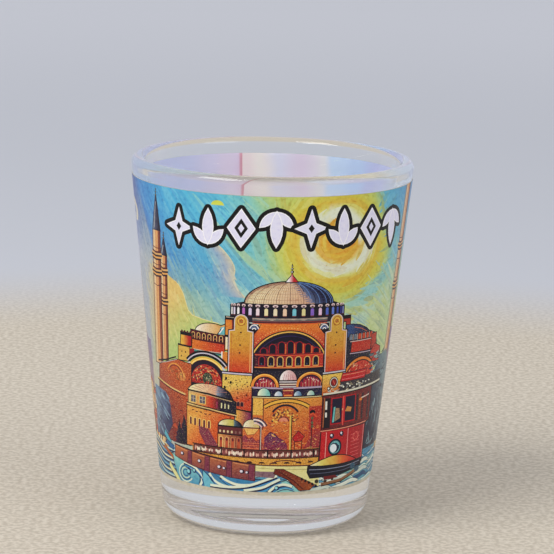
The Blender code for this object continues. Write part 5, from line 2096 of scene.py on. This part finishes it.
def floor_material():
    """Pale woven cloth near the glass that runs out into a plain cool ground, with a painted glow under the
    glass for the light that comes through its base.
    """
    nodes = Nodes("table_cloth")
    place = nodes.position()
    reach = nodes.vector("LENGTH", place)
    weave = nodes.noise(place, 1.1, 2.0)
    cloth = nodes.ramp(weave, ((0.35, (190, 179, 161)), (0.65, (213, 203, 186))))
    far = nodes.span(reach, CLOTH_REACH, GROUND_REACH)
    away = nodes.span(reach, GROUND_REACH, GROUND_END)
    ground = nodes.ramp(away, ((0.0, (198, 200, 206)), (1.0, (222, 223, 228))))
    # Painted light: the floor under and just round the glass's foot glows a little, in place of light through
    # the base.
    painted_glow_under_glass = nodes.span(reach, 12.0, 16.0, 0.24, 0.0)
    nodes.set(Base_Color=nodes.mix(far, cloth, ground), Roughness=0.9)
    nodes.set(Emission_Color=(0.80, 0.81, 0.84, 1.0), Emission_Strength=painted_glow_under_glass)
    return nodes.material


def add_floor():
    mesh = bmesh.new()
    bmesh.ops.create_grid(mesh, x_segments=8, y_segments=8, size=FLOOR_HALF)
    data = bpy.data.meshes.new("floor")
    mesh.to_mesh(data)
    mesh.free()
    data.materials.append(floor_material())
    floor = bpy.data.objects.new("floor", data)
    bpy.context.scene.collection.objects.link(floor)


def add_area_light(name, place, size, power, colour):
    data = bpy.data.lights.new(name, "AREA")
    data.energy = power
    data.size = size
    data.color = colour
    light = bpy.data.objects.new(name, data)
    light.location = place
    light.rotation_mode = "QUATERNION"
    light.rotation_quaternion = (Vector(place) - Vector(LAMP_TARGET)).to_track_quat("Z", "Y")
    bpy.context.scene.collection.objects.link(light)


def add_light():
    world = bpy.data.worlds.new("studio")
    bpy.context.scene.world = world
    world.use_nodes = True
    background = world.node_tree.nodes["Background"]
    background.inputs["Color"].default_value = DAYLIGHT
    background.inputs["Strength"].default_value = DAYLIGHT_STRENGTH
    for lamp in LAMPS:
        add_area_light(*lamp)
    bpy.context.scene.view_settings.view_transform = "Standard"


# ---------------------------------------------------------------- assembly


def assemble():
    glass = turned("clear_glass", glass_profile(), closed=False)
    glass.data.materials.append(glass_material())
    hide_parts("glass_body")
    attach(glass, "root")
    coat = turned("undercoat", band_profile(UNDERCOAT_LOW, UNDERCOAT_HIGH, -COAT_BITE, UNDERCOAT_FACE),
                  closed=True)
    coat.data.materials.append(reverse_material())
    coat.data.materials.append(undercoat_material())
    paint_outside(coat)
    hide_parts("white_undercoat")
    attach(coat, "root")
    for piece in make_print():
        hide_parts("picture_print", "clear_overcoat")
        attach(piece, "root")


def paint_outside(coat):
    """The undercoat's inner face takes the reverse's tints, and every other face the plain white."""
    for face in coat.data.polygons:
        out = Vector((face.center.x, face.center.y, 0.0))
        face.material_index = 0 if face.normal.dot(out) < 0 and abs(face.normal.z) < 0.5 else 1


add_camera()
add_light()
add_floor()
assemble()
